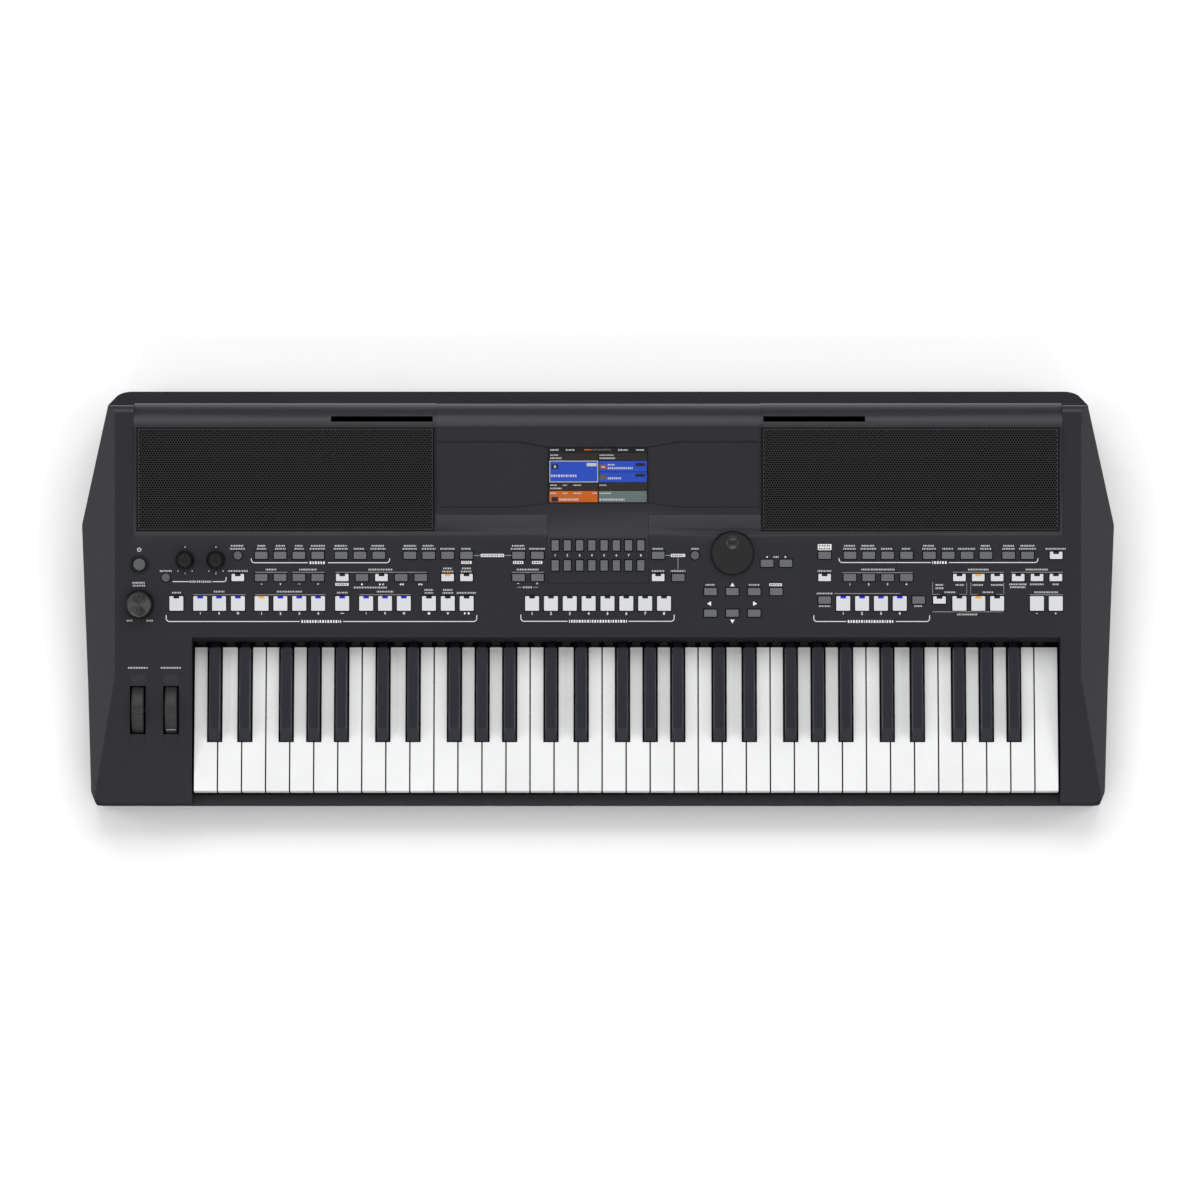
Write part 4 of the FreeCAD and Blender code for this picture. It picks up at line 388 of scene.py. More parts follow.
lens_blue = lit_lens("lens_blue", (0.004, 0.006, 0.4), 0.15)
lens_amber = lit_lens("lens_amber", (0.62, 0.28, 0.05), 0.2)
lens_dark = lit_lens("lens_dark", (0.005, 0.005, 0.006), 0.0)
PLAYED_ROW, PLAYED_LENGTH = 32.9, 14.1
LAMP_ROW, LAMP_LENGTH = 58, 7
registration_row = cap_row(-63.8, 8)
pad_row = cap_row(237.5, 4)
PLAYED_LAMPS = {
    "style_control_buttons": {
        lens_blue: [-385.2, -366.95, -348.7, -307.55, -289.3, -271.05, -247.7, -224.5, -206.25, -188.0],
        lens_amber: [-325.8],
        lens_dark: [-408.3, -163.7, -145.45, -127.2]},
    "registration_buttons": {lens_dark: registration_row},
    "multi_pad_buttons": {lens_blue: pad_row},
    "part_switch_buttons": {lens_dark: [350, 386.5], lens_amber: [368.25]},
}
for node, lenses in PLAYED_LAMPS.items():
    for lens, places in lenses.items():
        set_lenses(node, lens, [(across, PLAYED_ROW) for across in places], PLAYED_LENGTH)
set_lenses("song_transport_buttons", lens_dark, [(across, LAMP_ROW) for across in WHITE_SONG_CAPS],
           LAMP_LENGTH)
set_lenses("lamp_buttons", lens_dark,
           [(-348.8, LAMP_ROW), (-127.35, LAMP_ROW), (58.3, LAMP_ROW), (443.6, 79.5), (219.5, LAMP_ROW),
            (350, LAMP_ROW), (386.5, LAMP_ROW), (406.9, LAMP_ROW), (425.15, LAMP_ROW), (443.4, LAMP_ROW),
            (330.7, 36.2)], LAMP_LENGTH)
set_lenses("lamp_buttons", lens_amber, [(-145.6, LAMP_ROW), (368.25, LAMP_ROW)], LAMP_LENGTH)


# Knobs and dial: fluted mouldings pushed on the shafts of rotary controls under the panel.
# The volume knob carries a disc of spun aluminium, and the dial is a flat disc with a finger hollow.
def on_control(across, up):
    return Matrix.Translation(on_panel(across, up)) @ Matrix.Rotation(PANEL_SLOPE, 4, "X")


def fluted(count, deep, low, high):
    """Rim with flutes between two heights."""
    def rim(angle, radius, height):
        if low <= height <= high:
            return radius - deep * (0.5 - 0.5 * math.cos(count * angle)) ** 2
        return radius
    return rim


knob_plastic = grained_finish("knob_black", (0.0045, 0.0046, 0.005), 0.4, 0.35, 0.02, 0.22)
dial_plastic = grained_finish("dial_charcoal", (0.0125, 0.0128, 0.014), 0.4, 0.35, 0.02, 0.22)
spun_metal = grained_finish("spun_aluminium", (0.075, 0.075, 0.078), 0.3, 0.2, 0.003, 0.5, 1.0)
surface_of(spun_metal).inputs["Anisotropic"].default_value = 0.95
lathe_lay = spun_metal.node_tree.nodes.new("ShaderNodeTangent")
lathe_lay.direction_type = "RADIAL"
lathe_lay.axis = "Z"
spun_metal.node_tree.links.new(lathe_lay.outputs["Tangent"], surface_of(spun_metal).inputs["Tangent"])

VOLUME_ACROSS, VOLUME_UP, POINTER_OUT = -444.2, 31.8, 8.2
VOLUME_SECTION = [(0, 0.6), (14.2, 0.6), (14.4, 0.8), (14.4, 2), (14.1, 2.5), (13.5, 3.1), (13.2, 4),
                  (13, 11), (12.9, 11.8), (12.5, 12.5), (12, 12.75), (11.75, 12.6), (11.7, 12.2),
                  (0, 12.2)]
DISC_SECTION = [(11.6, 12.1), (11.6, 12.6), (11.4, 12.85), (11, 12.95), (5, 12.9), (0, 12.88)]
volume_place = on_control(VOLUME_ACROSS, VOLUME_UP)
volume_flutes = fluted(count=40, deep=0.5, low=3.5, high=11.5)
volume = fit("volume_knob_fluted", turned("volume_knob", VOLUME_SECTION, 160, volume_flutes),
             knob_plastic, "volume_knob", volume_place)
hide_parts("volume_knob")
fit("volume_knob_disc", turned("volume_disc", DISC_SECTION, 120), spun_metal,
    "volume_knob", volume_place)
pointer_bm = bmesh.new()
rounded_plate(pointer_bm, VOLUME_ACROSS, VOLUME_UP + POINTER_OUT, low=12.8, high=12.99,
              width=1.2, length=3.8, corner=0.5, edge=0.03)
fit("volume_knob_pointer", mesh_from("volume_pointer", pointer_bm), knob_plastic, "volume_knob")

LIVE_UP, LIVE_LINE_OUT = 74.8, 4.4
LIVE_SECTION = [(0, 0.6), (9.1, 0.6), (9.3, 0.8), (9.3, 1.8), (8.9, 2.4), (7.9, 3.4), (7.5, 4.6),
                (7.2, 12), (6.9, 13.2), (6.4, 13.7), (5.6, 13.9), (5.2, 13.6), (0, 13.4)]
live_flutes = fluted(count=20, deep=0.8, low=4, high=13.8)
for node, across in (("live_control_knob_1", -399.9), ("live_control_knob_2", -370.0)):
    knob = fit(node + "_fluted", turned(node, LIVE_SECTION, 120, live_flutes), knob_plastic,
               node, on_control(across, LIVE_UP))
    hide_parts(node)
    line_bm = bmesh.new()
    rounded_plate(line_bm, across, LIVE_UP + LIVE_LINE_OUT, low=13.2, high=13.7,
                  width=0.7, length=2.2, corner=0.3, edge=0.05)
    fit(node + "_line", mesh_from(node + "_line", line_bm), painted_shade_and_pointer_black, node)

DIAL_ACROSS, DIAL_UP = 130.2, 81.6
HOLLOW_OUT, HOLLOW_RISE, HOLLOW_RADIUS = 10, 4, 7.5
HOLLOW_STEEPEST, HOLLOW_FLATTEST = 0.6, 0.998
PANEL_NORMAL = on_panel(0, 0, 1000) - on_panel(0, 0)
hollow_centre = on_panel(DIAL_ACROSS, DIAL_UP + HOLLOW_OUT, HOLLOW_RISE)


def in_hollow(face):
    """True for a face of the finger hollow, and not for the flat top or the rim."""
    near = (face.center - hollow_centre).length < HOLLOW_RADIUS / 1000
    return near and HOLLOW_STEEPEST < face.normal.dot(PANEL_NORMAL) < HOLLOW_FLATTEST


# The hollow is glossier, and its colour is darker than the dial's as painted shade in the recess.
hollow_gloss_painted_shade = grained_finish("hollow_gloss_painted_shade", (0.006, 0.006, 0.0065), 0.3, 0.5, 0.002, 0.45)
refinish(dress("data_dial", dial_plastic, 0.4), hollow_gloss_painted_shade, in_hollow)
dress("gain_knob", knob_plastic, 0.3)
POWER_UP = 70.7
COLLAR_SECTION = [(6.6, -0.2), (6.7, 0.1), (8, 0.3), (9.3, 0.35), (9.8, 0.2), (9.9, -0.2)]
fit("power_button_collar", turned("power_collar", COLLAR_SECTION, 72), knob_plastic, "case",
    on_control(VOLUME_ACROSS, POWER_UP))


# Display: a cover plate over the middle block, its window of clear acrylic and the lit panel behind.
# The picture is plain fields of colour with rows of small light blocks.
PRINT_EDGE = 0.005
SCREEN_LEVEL, FIELD_TOP, LAYER_STEP, FIELD_CORNER = 3.0, 3.02, 0.009, 0.4
SCREEN_LABEL_LOW, SCREEN_LABEL_HIGH = 3.05, 3.13
SCREEN_GRAIN, FIELD_GLOW, LABEL_GLOW = 0.0005, 0.55, 0.6
BLOCK_WIDTHS = (0.6, 0.5, 0.66, 0.3, 0.56, 0.62, 0.44, 0.7)
BLOCK_GAP, BLOCK_LEAST, BLOCK_ROUND = 0.42, 0.25, 0.2
dress("display_housing", case_plastic)
dress("display_module", grained_finish("panel_backing", (0.004, 0.004, 0.005), 0.3, 0.5, 0.005, 0.3))
window_clear = grained_finish("window_clear", (0.01, 0.01, 0.012), 0.08, 3, 0.001)
surface_of(window_clear).inputs["Alpha"].default_value = 0.1
dress("display_window", window_clear)


def label_blocks(bm, left, right, up, height, low, high):
    """Row of small blocks as a plain label, their uneven widths and gaps in shares of its height."""
    across = left
    number = int(abs(left) * 3 + up)
    while across < right - BLOCK_LEAST * height:
        width = min(BLOCK_WIDTHS[number % len(BLOCK_WIDTHS)] * height, right - across)
        corner = BLOCK_ROUND * min(width, height)
        rounded_plate(bm, across + width / 2, up, low, high, width, height, corner, PRINT_EDGE)
        across += width + BLOCK_GAP * height
        number += 1


SCREEN_FIELDS = {
    "black": ((0.0012, 0.0012, 0.0015), [(-48.3, 48.3, 130.3, 184.1)]),
    "brown": ((0.0146, 0.0107, 0.008), [(-47, -0.4, 172, 178.4), (0.9, 47.2, 172, 178.4),
                                        (-47, -0.4, 142.6, 149.7), (0.9, 47.2, 142.6, 149.7)]),
    "frame_white": ((0.4, 0.43, 0.45), [(-47, 0.1, 150.2, 171.1)]),
    "blue": ((0.012, 0.05, 0.37), [(-46.3, -0.6, 150.9, 170.4), (1.2, 47.2, 160.6, 170.9),
                                   (1.2, 47.2, 150.3, 159.9)]),
    "amber": ((0.42, 0.085, 0.003), [(-47, -0.4, 131, 141.8), (-13.4, -6.1, 181.1, 182.3)]),
    "sage": ((0.095, 0.123, 0.123), [(0.9, 47.2, 131, 141.8)]),
    "grey": ((0.07, 0.07, 0.07), [(-5.4, 12.6, 181.1, 182.3), (1.6, 8.4, 152.8, 157.4)]),
    "rust": ((0.2, 0.06, 0.03), [(1.6, 8.4, 162.9, 167.3)]),
    "ink": ((0.004, 0.008, 0.03), [(-45, -38.4, 163, 167.6), (36.2, 45.5, 165.8, 168.8),
                                   (36.2, 45.5, 155.5, 158.5), (-45, -38.7, 131.5, 136)]),
    "tag": ((0.4, 0.42, 0.43), [(-11, -1.4, 165.8, 168.9), (-42.6, -40.6, 164.2, 166.4),
                                (3.4, 6.8, 164.4, 165.6)]),
}
for layer, (tint, (colour, fields)) in enumerate(SCREEN_FIELDS.items()):
    name = "screen_" + tint
    field_bm = bmesh.new()
    for left, right, low, high in fields:
        rounded_plate(field_bm, (left + right) / 2, (low + high) / 2,
                      SCREEN_LEVEL, FIELD_TOP + LAYER_STEP * layer,
                      right - left, high - low, FIELD_CORNER, PRINT_EDGE)
    field_light = lit_lens(name, colour, FIELD_GLOW, SCREEN_GRAIN)
    fit(name, mesh_from(name, field_bm), field_light, "case")
SCREEN_LABELS = [
    (-46.2, -37.5, 181.5, 1.5), (-31, -22.4, 181.5, 1.5), (19.5, 28.8, 181.5, 1.5),
    (36.8, 44.4, 181.5, 1.5), (-46.2, -38, 176.5, 1.2), (-46.2, -35.4, 173.5, 1.5), (1.6, 15, 176.5, 1.2),
    (1.6, 16.5, 173.5, 1.5), (-45.4, -20.7, 156.5, 2.4), (9.6, 16, 167.2, 1.5), (9.6, 33.4, 163.9, 2),
    (9.6, 23, 154.1, 2), (-46.2, -39.5, 147.4, 1.2), (-34, -29.6, 147.4, 1.2), (-24, -16, 147.4, 1.2),
    (-46.2, -34.7, 144.3, 1.5), (1.6, 8.2, 147.4, 1.2), (-46.2, -40.4, 139.6, 1.3),
    (-34, -29.6, 139.6, 1.3), (-24, -16, 139.6, 1.3), (-5.4, -1, 139.6, 1.3), (-37.3, -18.5, 133.5, 2),
    (1.6, 12.8, 139.6, 1.3), (1.6, 26.3, 133.5, 2)]
words_bm = bmesh.new()
for left, right, up, height in SCREEN_LABELS:
    label_blocks(words_bm, left, right, up, height, SCREEN_LABEL_LOW, SCREEN_LABEL_HIGH)
screen_light = lit_lens("screen_light", (0.46, 0.47, 0.48), LABEL_GLOW, SCREEN_GRAIN)
fit("screen_words", mesh_from("screen_words", words_bm), screen_light, "case")


# Creases of the cover plate: narrow grooves moulded beside the screen, drawn in towards its corners.
# They lie in shadow, so each is a thin dark line let into the face of the plate.
INK_LOW, INK_HIGH = -0.05, 0.03
PLATE_RISE, CREASE_WIDTH = 5.0, 0.45
REAR_CREASE = [(154.5, 189.3), (79, 189.3), (49.2, 184.2)]
FRONT_CREASE = [(154.5, 126.1), (79, 126.1), (49.2, 130.1)]


def ink_line(bm, points, width, level=0.0):
    """Adds a printed line through points of the panel, or of a level above it, in mm."""
    rows = []
    for number, (across, up) in enumerate(points):
        before = Vector(points[max(number - 1, 0)])
        after = Vector(points[min(number + 1, len(points) - 1)])
        way = (after - before).normalized()
        row = []
        for side, rise in ((-1, INK_LOW), (-1, INK_HIGH), (1, INK_HIGH), (1, INK_LOW)):
            beside = (across - side * way.y * width / 2, up + side * way.x * width / 2)
            row.append(bm.verts.new(on_panel(*beside, level + rise)))
        rows.append(row)
    for row, following in zip(rows, rows[1:]):
        for side in range(3):
            bm.faces.new((row[side], following[side], following[side + 1], row[side + 1]))
        bm.faces.new((row[3], following[3], following[0], row[0]))
    bm.faces.new(rows[0])
    bm.faces.new(rows[-1][::-1])


crease_bm = bmesh.new()
for side in (-1, 1):
    for crease in (REAR_CREASE, FRONT_CREASE):
        ink_line(crease_bm, [(side * across, up) for across, up in crease], CREASE_WIDTH, PLATE_RISE)
fit("display_creases", mesh_from("display_creases", crease_bm), painted_shade_and_pointer_black, "case")


# Loudspeakers: pressed steel baskets with a magnet, and paper cones with a rubber roll.
# They hang under the speaker blocks, behind pressed and perforated steel grilles.
HOLE_PITCH, HOLE_ROW, HOLE_RADIUS, HOLE_DEPTH = 2.52, 2.18, 0.99, 1.1
HOLE_SIDES = 8
GRILLE_LOW, GRILLE_HIGH, GRILLE_TOP = 103.1, 202.9, 2.0
GRILLE_MARGINS, CLOTH_MARGINS = 2.6, 3
CLOTH_LOW, CLOTH_HIGH, CLOTH_CORNER, CLOTH_EDGE = 0.2, 0.5, 1, 0.1
PRESSED_EDGE = ((1.0, 0), (0.3, -0.3), (0, -1), (0, -6))
RIM_FACES = 12
basket_black = grained_finish("basket_black", (0.02, 0.02, 0.02), 0.45, 0.6, 0.02, 0.5, 0.6)
cone_paper = grained_finish("cone_paper", (0.016, 0.016, 0.016), 0.85, 0.9, 0.06, 0.2)
grille_paint = grained_finish("grille_powder_coat", (0.015, 0.0152, 0.0165), 0.45, 0.25, 0.006, 0.3)
cloth_black = grained_finish("speaker_cloth", (0.0015, 0.0015, 0.0015), 0.95, 0.5, 0.1, 0.02)
dress("speaker_drivers", basket_black)
dress("speaker_cones", cone_paper)


def perforated_sheet(name, left, right):
    """Sheet with staggered rows of holes, a plain margin and an edge pressed down all round."""
    columns = int((right - left - GRILLE_MARGINS) / HOLE_PITCH)
    rows = int((GRILLE_HIGH - GRILLE_LOW - GRILLE_MARGINS) / HOLE_ROW)
    start = (left + right - columns * HOLE_PITCH) / 2
    bottom = (GRILLE_LOW + GRILLE_HIGH - rows * HOLE_ROW) / 2
    points, faces, shared = [], [], {}

    def corner(half_column, half_row):
        if (half_column, half_row) not in shared:
            shared[half_column, half_row] = len(points)
            points.append(on_panel(start + half_column * HOLE_PITCH / 2, bottom + half_row * HOLE_ROW / 2,
                                   GRILLE_TOP))
        return shared[half_column, half_row]

    around = ((2, 1), (2, 2), (1, 2), (0, 2), (0, 1), (0, 0), (1, 0), (2, 0))
    for row in range(rows):
        shift = row % 2
        for column in range(columns - shift):
            west, south = 2 * column + shift, 2 * row
            rim = [corner(west + east, south + north) for east, north in around]
            across = start + (west + 1) * HOLE_PITCH / 2
            up = bottom + (south + 1) * HOLE_ROW / 2
            first = len(points)
            for rise in (GRILLE_TOP, GRILLE_TOP - HOLE_DEPTH):
                for turn in range(HOLE_SIDES):
                    angle = 2 * math.pi / HOLE_SIDES * turn
                    points.append(on_panel(across + HOLE_RADIUS * math.cos(angle),
                                           up + HOLE_RADIUS * math.sin(angle), rise))
            for turn in range(HOLE_SIDES):
                after = (turn + 1) % HOLE_SIDES
                top, next_top = first + turn, first + after
                faces.append((rim[turn], rim[after], next_top, top))
                faces.append((top, next_top, next_top + HOLE_SIDES, top + HOLE_SIDES))
        if shift:
            for west in (0, 2 * columns - 1):
                faces.append([corner(west + east, 2 * row + north) for east, north in
                              ((0, 0), (1, 0), (1, 1), (1, 2), (0, 2), (0, 1))])
    boxes = [(start, start + columns * HOLE_PITCH, bottom, bottom + rows * HOLE_ROW, GRILLE_TOP)]
    boxes += [(left + inset, right - inset, GRILLE_LOW + inset, GRILLE_HIGH - inset, GRILLE_TOP + drop)
              for inset, drop in PRESSED_EDGE]
    loops = []
    for west, east, south, north, rise in boxes:
        loops.append(range(len(points), len(points) + 4))
        points.extend(on_panel(across, up, rise) for across, up in
                      ((west, south), (east, south), (east, north), (west, north)))
    for loop, following in zip(loops, loops[1:]):
        for side in range(4):
            after = (side + 1) % 4
            faces.append((loop[after], loop[side], following[side], following[after]))
    mesh = bpy.data.meshes.new(name)
    mesh.from_pydata(points, [], faces)
    return mesh


for node, left, right in (("speaker_grille_left", -446.4, -158.7), ("speaker_grille_right", 158.7, 446.4)):
    sheet = perforated_sheet(node, left, right)
    grille = fit(node + "_perforated", sheet, grille_paint, "case")
    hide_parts(node)
    # The pressed edge round each sheet is near black as painted shade in the gap round the grille.
    first_rim_face = len(sheet.polygons) - RIM_FACES
    refinish(sheet, painted_shade_and_pointer_black, lambda face: face.index >= first_rim_face)
    cloth_bm = bmesh.new()
    rounded_plate(cloth_bm, (left + right) / 2, (GRILLE_LOW + GRILLE_HIGH) / 2, CLOTH_LOW, CLOTH_HIGH,
                  right - left - CLOTH_MARGINS, GRILLE_HIGH - GRILLE_LOW - CLOTH_MARGINS,
                  CLOTH_CORNER, CLOTH_EDGE)
    fit(node + "_cloth", mesh_from(node + "_cloth", cloth_bm), cloth_black, "case")


# Rear connections: a recessed moulded plate in a window of the lower case, with the jacks behind it.
# Each phone jack has a black bush with a bright ring nut, and the small sockets are black plastic.
JACKS_ACROSS = (-434, -382, -354, -326, -298)
JACK_FACE_Y, JACK_Z = 195.2, 23.3
FACING_REAR = Matrix.Rotation(-math.pi / 2, 4, "X")
NUT_SECTION = [(5.9, 0), (7.9, 0), (7.9, 1.3), (7.5, 1.7), (6.2, 1.7), (5.9, 1.4), (5.9, 0)]
socket_black = grained_finish("socket_black", (0.008, 0.008, 0.008), 0.3, 0.5, 0.01, 0.5)
dress("jack_plate", case_plastic)
dress("phone_jacks", socket_black)
nut_flutes = fluted(count=24, deep=0.35, low=0.2, high=1.5)
for number, across in enumerate(JACKS_ACROSS):
    nut_place = Matrix.Translation((across / 1000, JACK_FACE_Y / 1000, JACK_Z / 1000)) @ FACING_REAR
    fit(f"jack_ring_nut_{number + 1}", turned("ring_nut", NUT_SECTION, 48, nut_flutes), steel,
        "case", nut_place)
dress("rear_sockets", socket_black)


# Printed marks: lines, brackets, signs and numbers screen printed on the panel in white and grey ink.
# Rows of small pale blocks label the controls, and filled white boxes carry such rows in dark ink.
FINE_LINE, BRACKET_LINE, FRAME_LINE = 0.5, 0.7, 0.35
BRACKET_CORNER = 3
LABEL_HEIGHT, BRACKET_LABEL_HEIGHT = 1.6, 2.6
BOX_CORNER, BOX_MARGINS, BOX_LINE_HALF, BOX_LABEL_HEIGHT, BOX_INK_HIGH = 0.5, 1.8, 1.4, 1.7, 0.05
DIGIT_SHARE, DIGIT_BOLD = 0.7, 0.035
ARROW_SPREAD, SIGN_REACH, DOT_ROUND = 0.6, 0.9, 0.3
grey_ink = grained_finish("grey_ink", (0.3, 0.3, 0.305), 0.6, 0.4, 0.004, 0.2)
pale_ink = grained_finish("pale_ink", (0.5, 0.5, 0.5), 0.6, 0.4, 0.004, 0.2)
dark_ink = grained_finish("dark_ink", (0.02, 0.02, 0.022), 0.6, 0.4, 0.004, 0.2)
white_bm, pale_bm, grey_bm, dark_bm = [bmesh.new() for ink in range(4)]


def bracket(left, right, up, ends, gap):
    """Bracket under a group of controls, with round corners and a gap for its label."""
    for outer, inner, way in ((left, gap[0], 1), (right, gap[1], -1)):
        points = [(outer, up + ends)] if ends > BRACKET_CORNER else []
        for step in range(5 if ends else 0):
            angle = math.radians(22.5 * step)
            points.append((outer + way * BRACKET_CORNER * (1 - math.cos(angle)),
                           up + BRACKET_CORNER * (1 - math.sin(angle))))
        ink_line(white_bm, (points or [(outer, up)]) + [(inner, up)], BRACKET_LINE)


def numeral(text, across, up, height):
    """Prints a plain number."""
    letters = bpy.data.curves.new("numeral", "FONT")
    letters.body = text
    letters.align_x = "CENTER"
    letters.align_y = "CENTER"
    letters.size = height / DIGIT_SHARE
    letters.extrude = INK_HIGH
    letters.offset = DIGIT_BOLD * height
    letters.resolution_u = 3
    holder = bpy.data.objects.new("numeral", letters)
    mesh = bpy.data.meshes.new_from_object(holder)
    mesh.transform(on_control(across, up) @ Matrix.Scale(0.001, 4))
    white_bm.from_mesh(mesh)
    bpy.data.objects.remove(holder)
    bpy.data.curves.remove(letters)
    bpy.data.meshes.remove(mesh)


def label(across, up, width, height=LABEL_HEIGHT, bm=pale_bm, high=INK_HIGH):
    label_blocks(bm, across - width / 2, across + width / 2, up, height, INK_LOW, high)


def boxed_label(across, up, width, length, lines):
    rounded_plate(white_bm, across, up, INK_LOW, INK_HIGH, width, length, BOX_CORNER, PRINT_EDGE)
    for line in range(lines):
        label(across, up + (lines - 1 - 2 * line) * BOX_LINE_HALF, width - BOX_MARGINS, BOX_LABEL_HEIGHT,
              dark_bm, BOX_INK_HIGH)


def arrow(across, up, reach, turn):
    """Prints a triangle that points right, turned by quarters."""
    angle = math.radians(90 * turn)
    corners = []
    for x, y in ((0.5, 0), (-0.5, ARROW_SPREAD), (-0.5, -ARROW_SPREAD)):
        corners.append((across + reach * (x * math.cos(angle) - y * math.sin(angle)),
                        up + reach * (x * math.sin(angle) + y * math.cos(angle))))
    low = [white_bm.verts.new(on_panel(*corner, INK_LOW)) for corner in corners]
    high = [white_bm.verts.new(on_panel(*corner, INK_HIGH)) for corner in corners]
    for number in range(3):
        after = (number + 1) % 3
        white_bm.faces.new((low[number], low[after], high[after], high[number]))
    white_bm.faces.new(high)
    white_bm.faces.new(low[::-1])


BRACKETS = [(-335.8, -201.8, 72.3, 4.2, (-281, -261.5)), (233.5, 426, 72.5, 4.2, (322.3, 339.7)),
            (-418.2, -117.4, 15.4, 6.2, (-289, -247)), (-74.7, 73.8, 15.6, 6.4, (-29.5, 29.7)),
            (209, 321.2, 15.4, 6, (240.5, 288.4)), (-411.8, -362, 54, 0, (-396.5, -373.2))]
LIVE_BRACKET_END = [(-362, 54), (-360.7, 54.6), (-360.2, 55.8), (-360.2, 58.4)]
BRACKET_LABELS = [(-271.2, 72.3, 16), (331, 72.5, 14.5), (-268, 15.4, 38.5), (0, 15.6, 56),
                  (264.4, 15.4, 45)]
LIVE_LABEL = (-384.8, 54, 21.5, 1.9)
for mark in BRACKETS:
    bracket(*mark)
ink_line(white_bm, LIVE_BRACKET_END, BRACKET_LINE)
for mark in BRACKET_LABELS:
    label(*mark, BRACKET_LABEL_HEIGHT, white_bm)
label(*LIVE_LABEL)

FIRST_LINE, SECOND_LINE, FIRST_LINE_SHARE = 88.7, 85.8, 0.85
TWO_LINE_LABELS = [
    (-349, 15), (-325.8, 9), (-307.6, 10), (-289.3, 9), (-271.2, 15.5), (-249.2, 13.5), (-212.8, 15),
    (-182.1, 14), (-164, 13), (-77.3, 14), (243.6, 12), (261.9, 15), (320.6, 13), (375.4, 10.5),
    (397.7, 12), (416, 16)]
ROW_LABELS = {
    SECOND_LINE: [(-231.1, 11), (-145.6, 14), (-127.4, 9.5), (-58.9, 15), (280, 11.5), (298.3, 8),
                  (338.9, 10.5), (357, 16.5), (443.6, 20), (58, 10), (94, 7)],
    65.7: [(-316.5, 10.5), (-280.5, 17.5), (-210.3, 24), (-68.1, 21), (271, 32), (368.5, 20), (425, 21.5)],
    64.3: [(-348.8, 19), (-418.5, 11.5), (219.5, 13.5), (58.3, 12), (77.5, 14)],
}
SINGLE_LABELS = [
    (-145.6, 66.8, 8.5), (-145.6, 63.8, 10.5), (-127.4, 66.8, 8.5), (-127.4, 63.8, 10.5),
    (-408.3, 43.3, 8.5), (-366.9, 44.3, 10), (-298.4, 44.3, 25), (-247.7, 43.3, 10), (-206.2, 44.3, 16),
    (-163.7, 46, 9), (-163.7, 43.1, 8), (-145.4, 46, 9), (-145.4, 43.1, 10), (-127.2, 43.1, 19),
    (219.5, 42.5, 15), (341, 43.7, 10.5), (377.6, 43.7, 10), (434.2, 43.7, 23), (331, 50.8, 8),
    (331, 47.6, 8), (350.3, 50.8, 8), (368.3, 50.8, 11), (386.5, 50.8, 11.5), (406.6, 51.4, 16.5),
    (406.6, 48.6, 15), (425, 51.4, 13), (443.3, 51.4, 6), (-68.1, 48.5, 9), (-220, 48.3, 33),
    (219.5, 30.3, 11), (310.5, 30.3, 8), (357.8, 22.2, 20), (-444.6, 52.9, 12.5), (-444.6, 50.1, 12),
    (-453.6, 16.2, 5.5), (-434, 16.2, 6.5), (172.8, 77.9, 6), (108.7, 50.9, 9), (151.2, 50.9, 10),
    (-445.7, -29.5, 19), (-413.4, -29.5, 20)]
BOXED_LABELS = [(219.5, 87.4, 13.2, 5.8, 2), (-102.3, 79.4, 22.6, 2.9, 1), (172, 51, 12.2, 2.6, 1),
                (77.5, 79.4, 13.8, 2.9, 1), (-248, 51.4, 12.8, 2.6, 1), (-127.4, 72.6, 10, 2.7, 1),
                (-77.3, 72.6, 10, 2.7, 1), (-58.9, 72.6, 10, 2.7, 1)]
for across, width in TWO_LINE_LABELS:
    label(across, FIRST_LINE, width * FIRST_LINE_SHARE)
    label(across, SECOND_LINE, width)
for up, labels in ROW_LABELS.items():
    for across, width in labels:
        label(across, up, width)
for mark in SINGLE_LABELS:
    label(*mark)
for mark in BOXED_LABELS:
    boxed_label(*mark)

SCREEN_PITCH = 11.85
screen_row = [(number - 3.5) * SCREEN_PITCH for number in range(8)]
variation_row = cap_row(-325.8, 4)
one_touch_row = cap_row(243.9, 4)
NUMBERED_ROWS = [(screen_row, 79.4, 2.1), (registration_row, 23.1, 2.7), (variation_row, 23.1, 2.5),
                 (one_touch_row, 51.4, 2.1), (pad_row, 23.1, 2.7)]
NUMERALS = [("1", -399.9, 61.9, 1.7), ("2", -370, 61.9, 1.7), ("I", -385.2, 23.3, 2.2),
            ("II", -366.95, 23.3, 2.2), ("III", -348.7, 23.3, 2.2), ("I", -224.5, 23.3, 2.2),
            ("II", -206.25, 23.3, 2.2), ("III", -188, 23.3, 2.2)]
for mark in NUMERALS:
    numeral(*mark)
for row, up, height in NUMBERED_ROWS:
    for number, across in enumerate(row):
        numeral(str(number + 1), across, up, height)

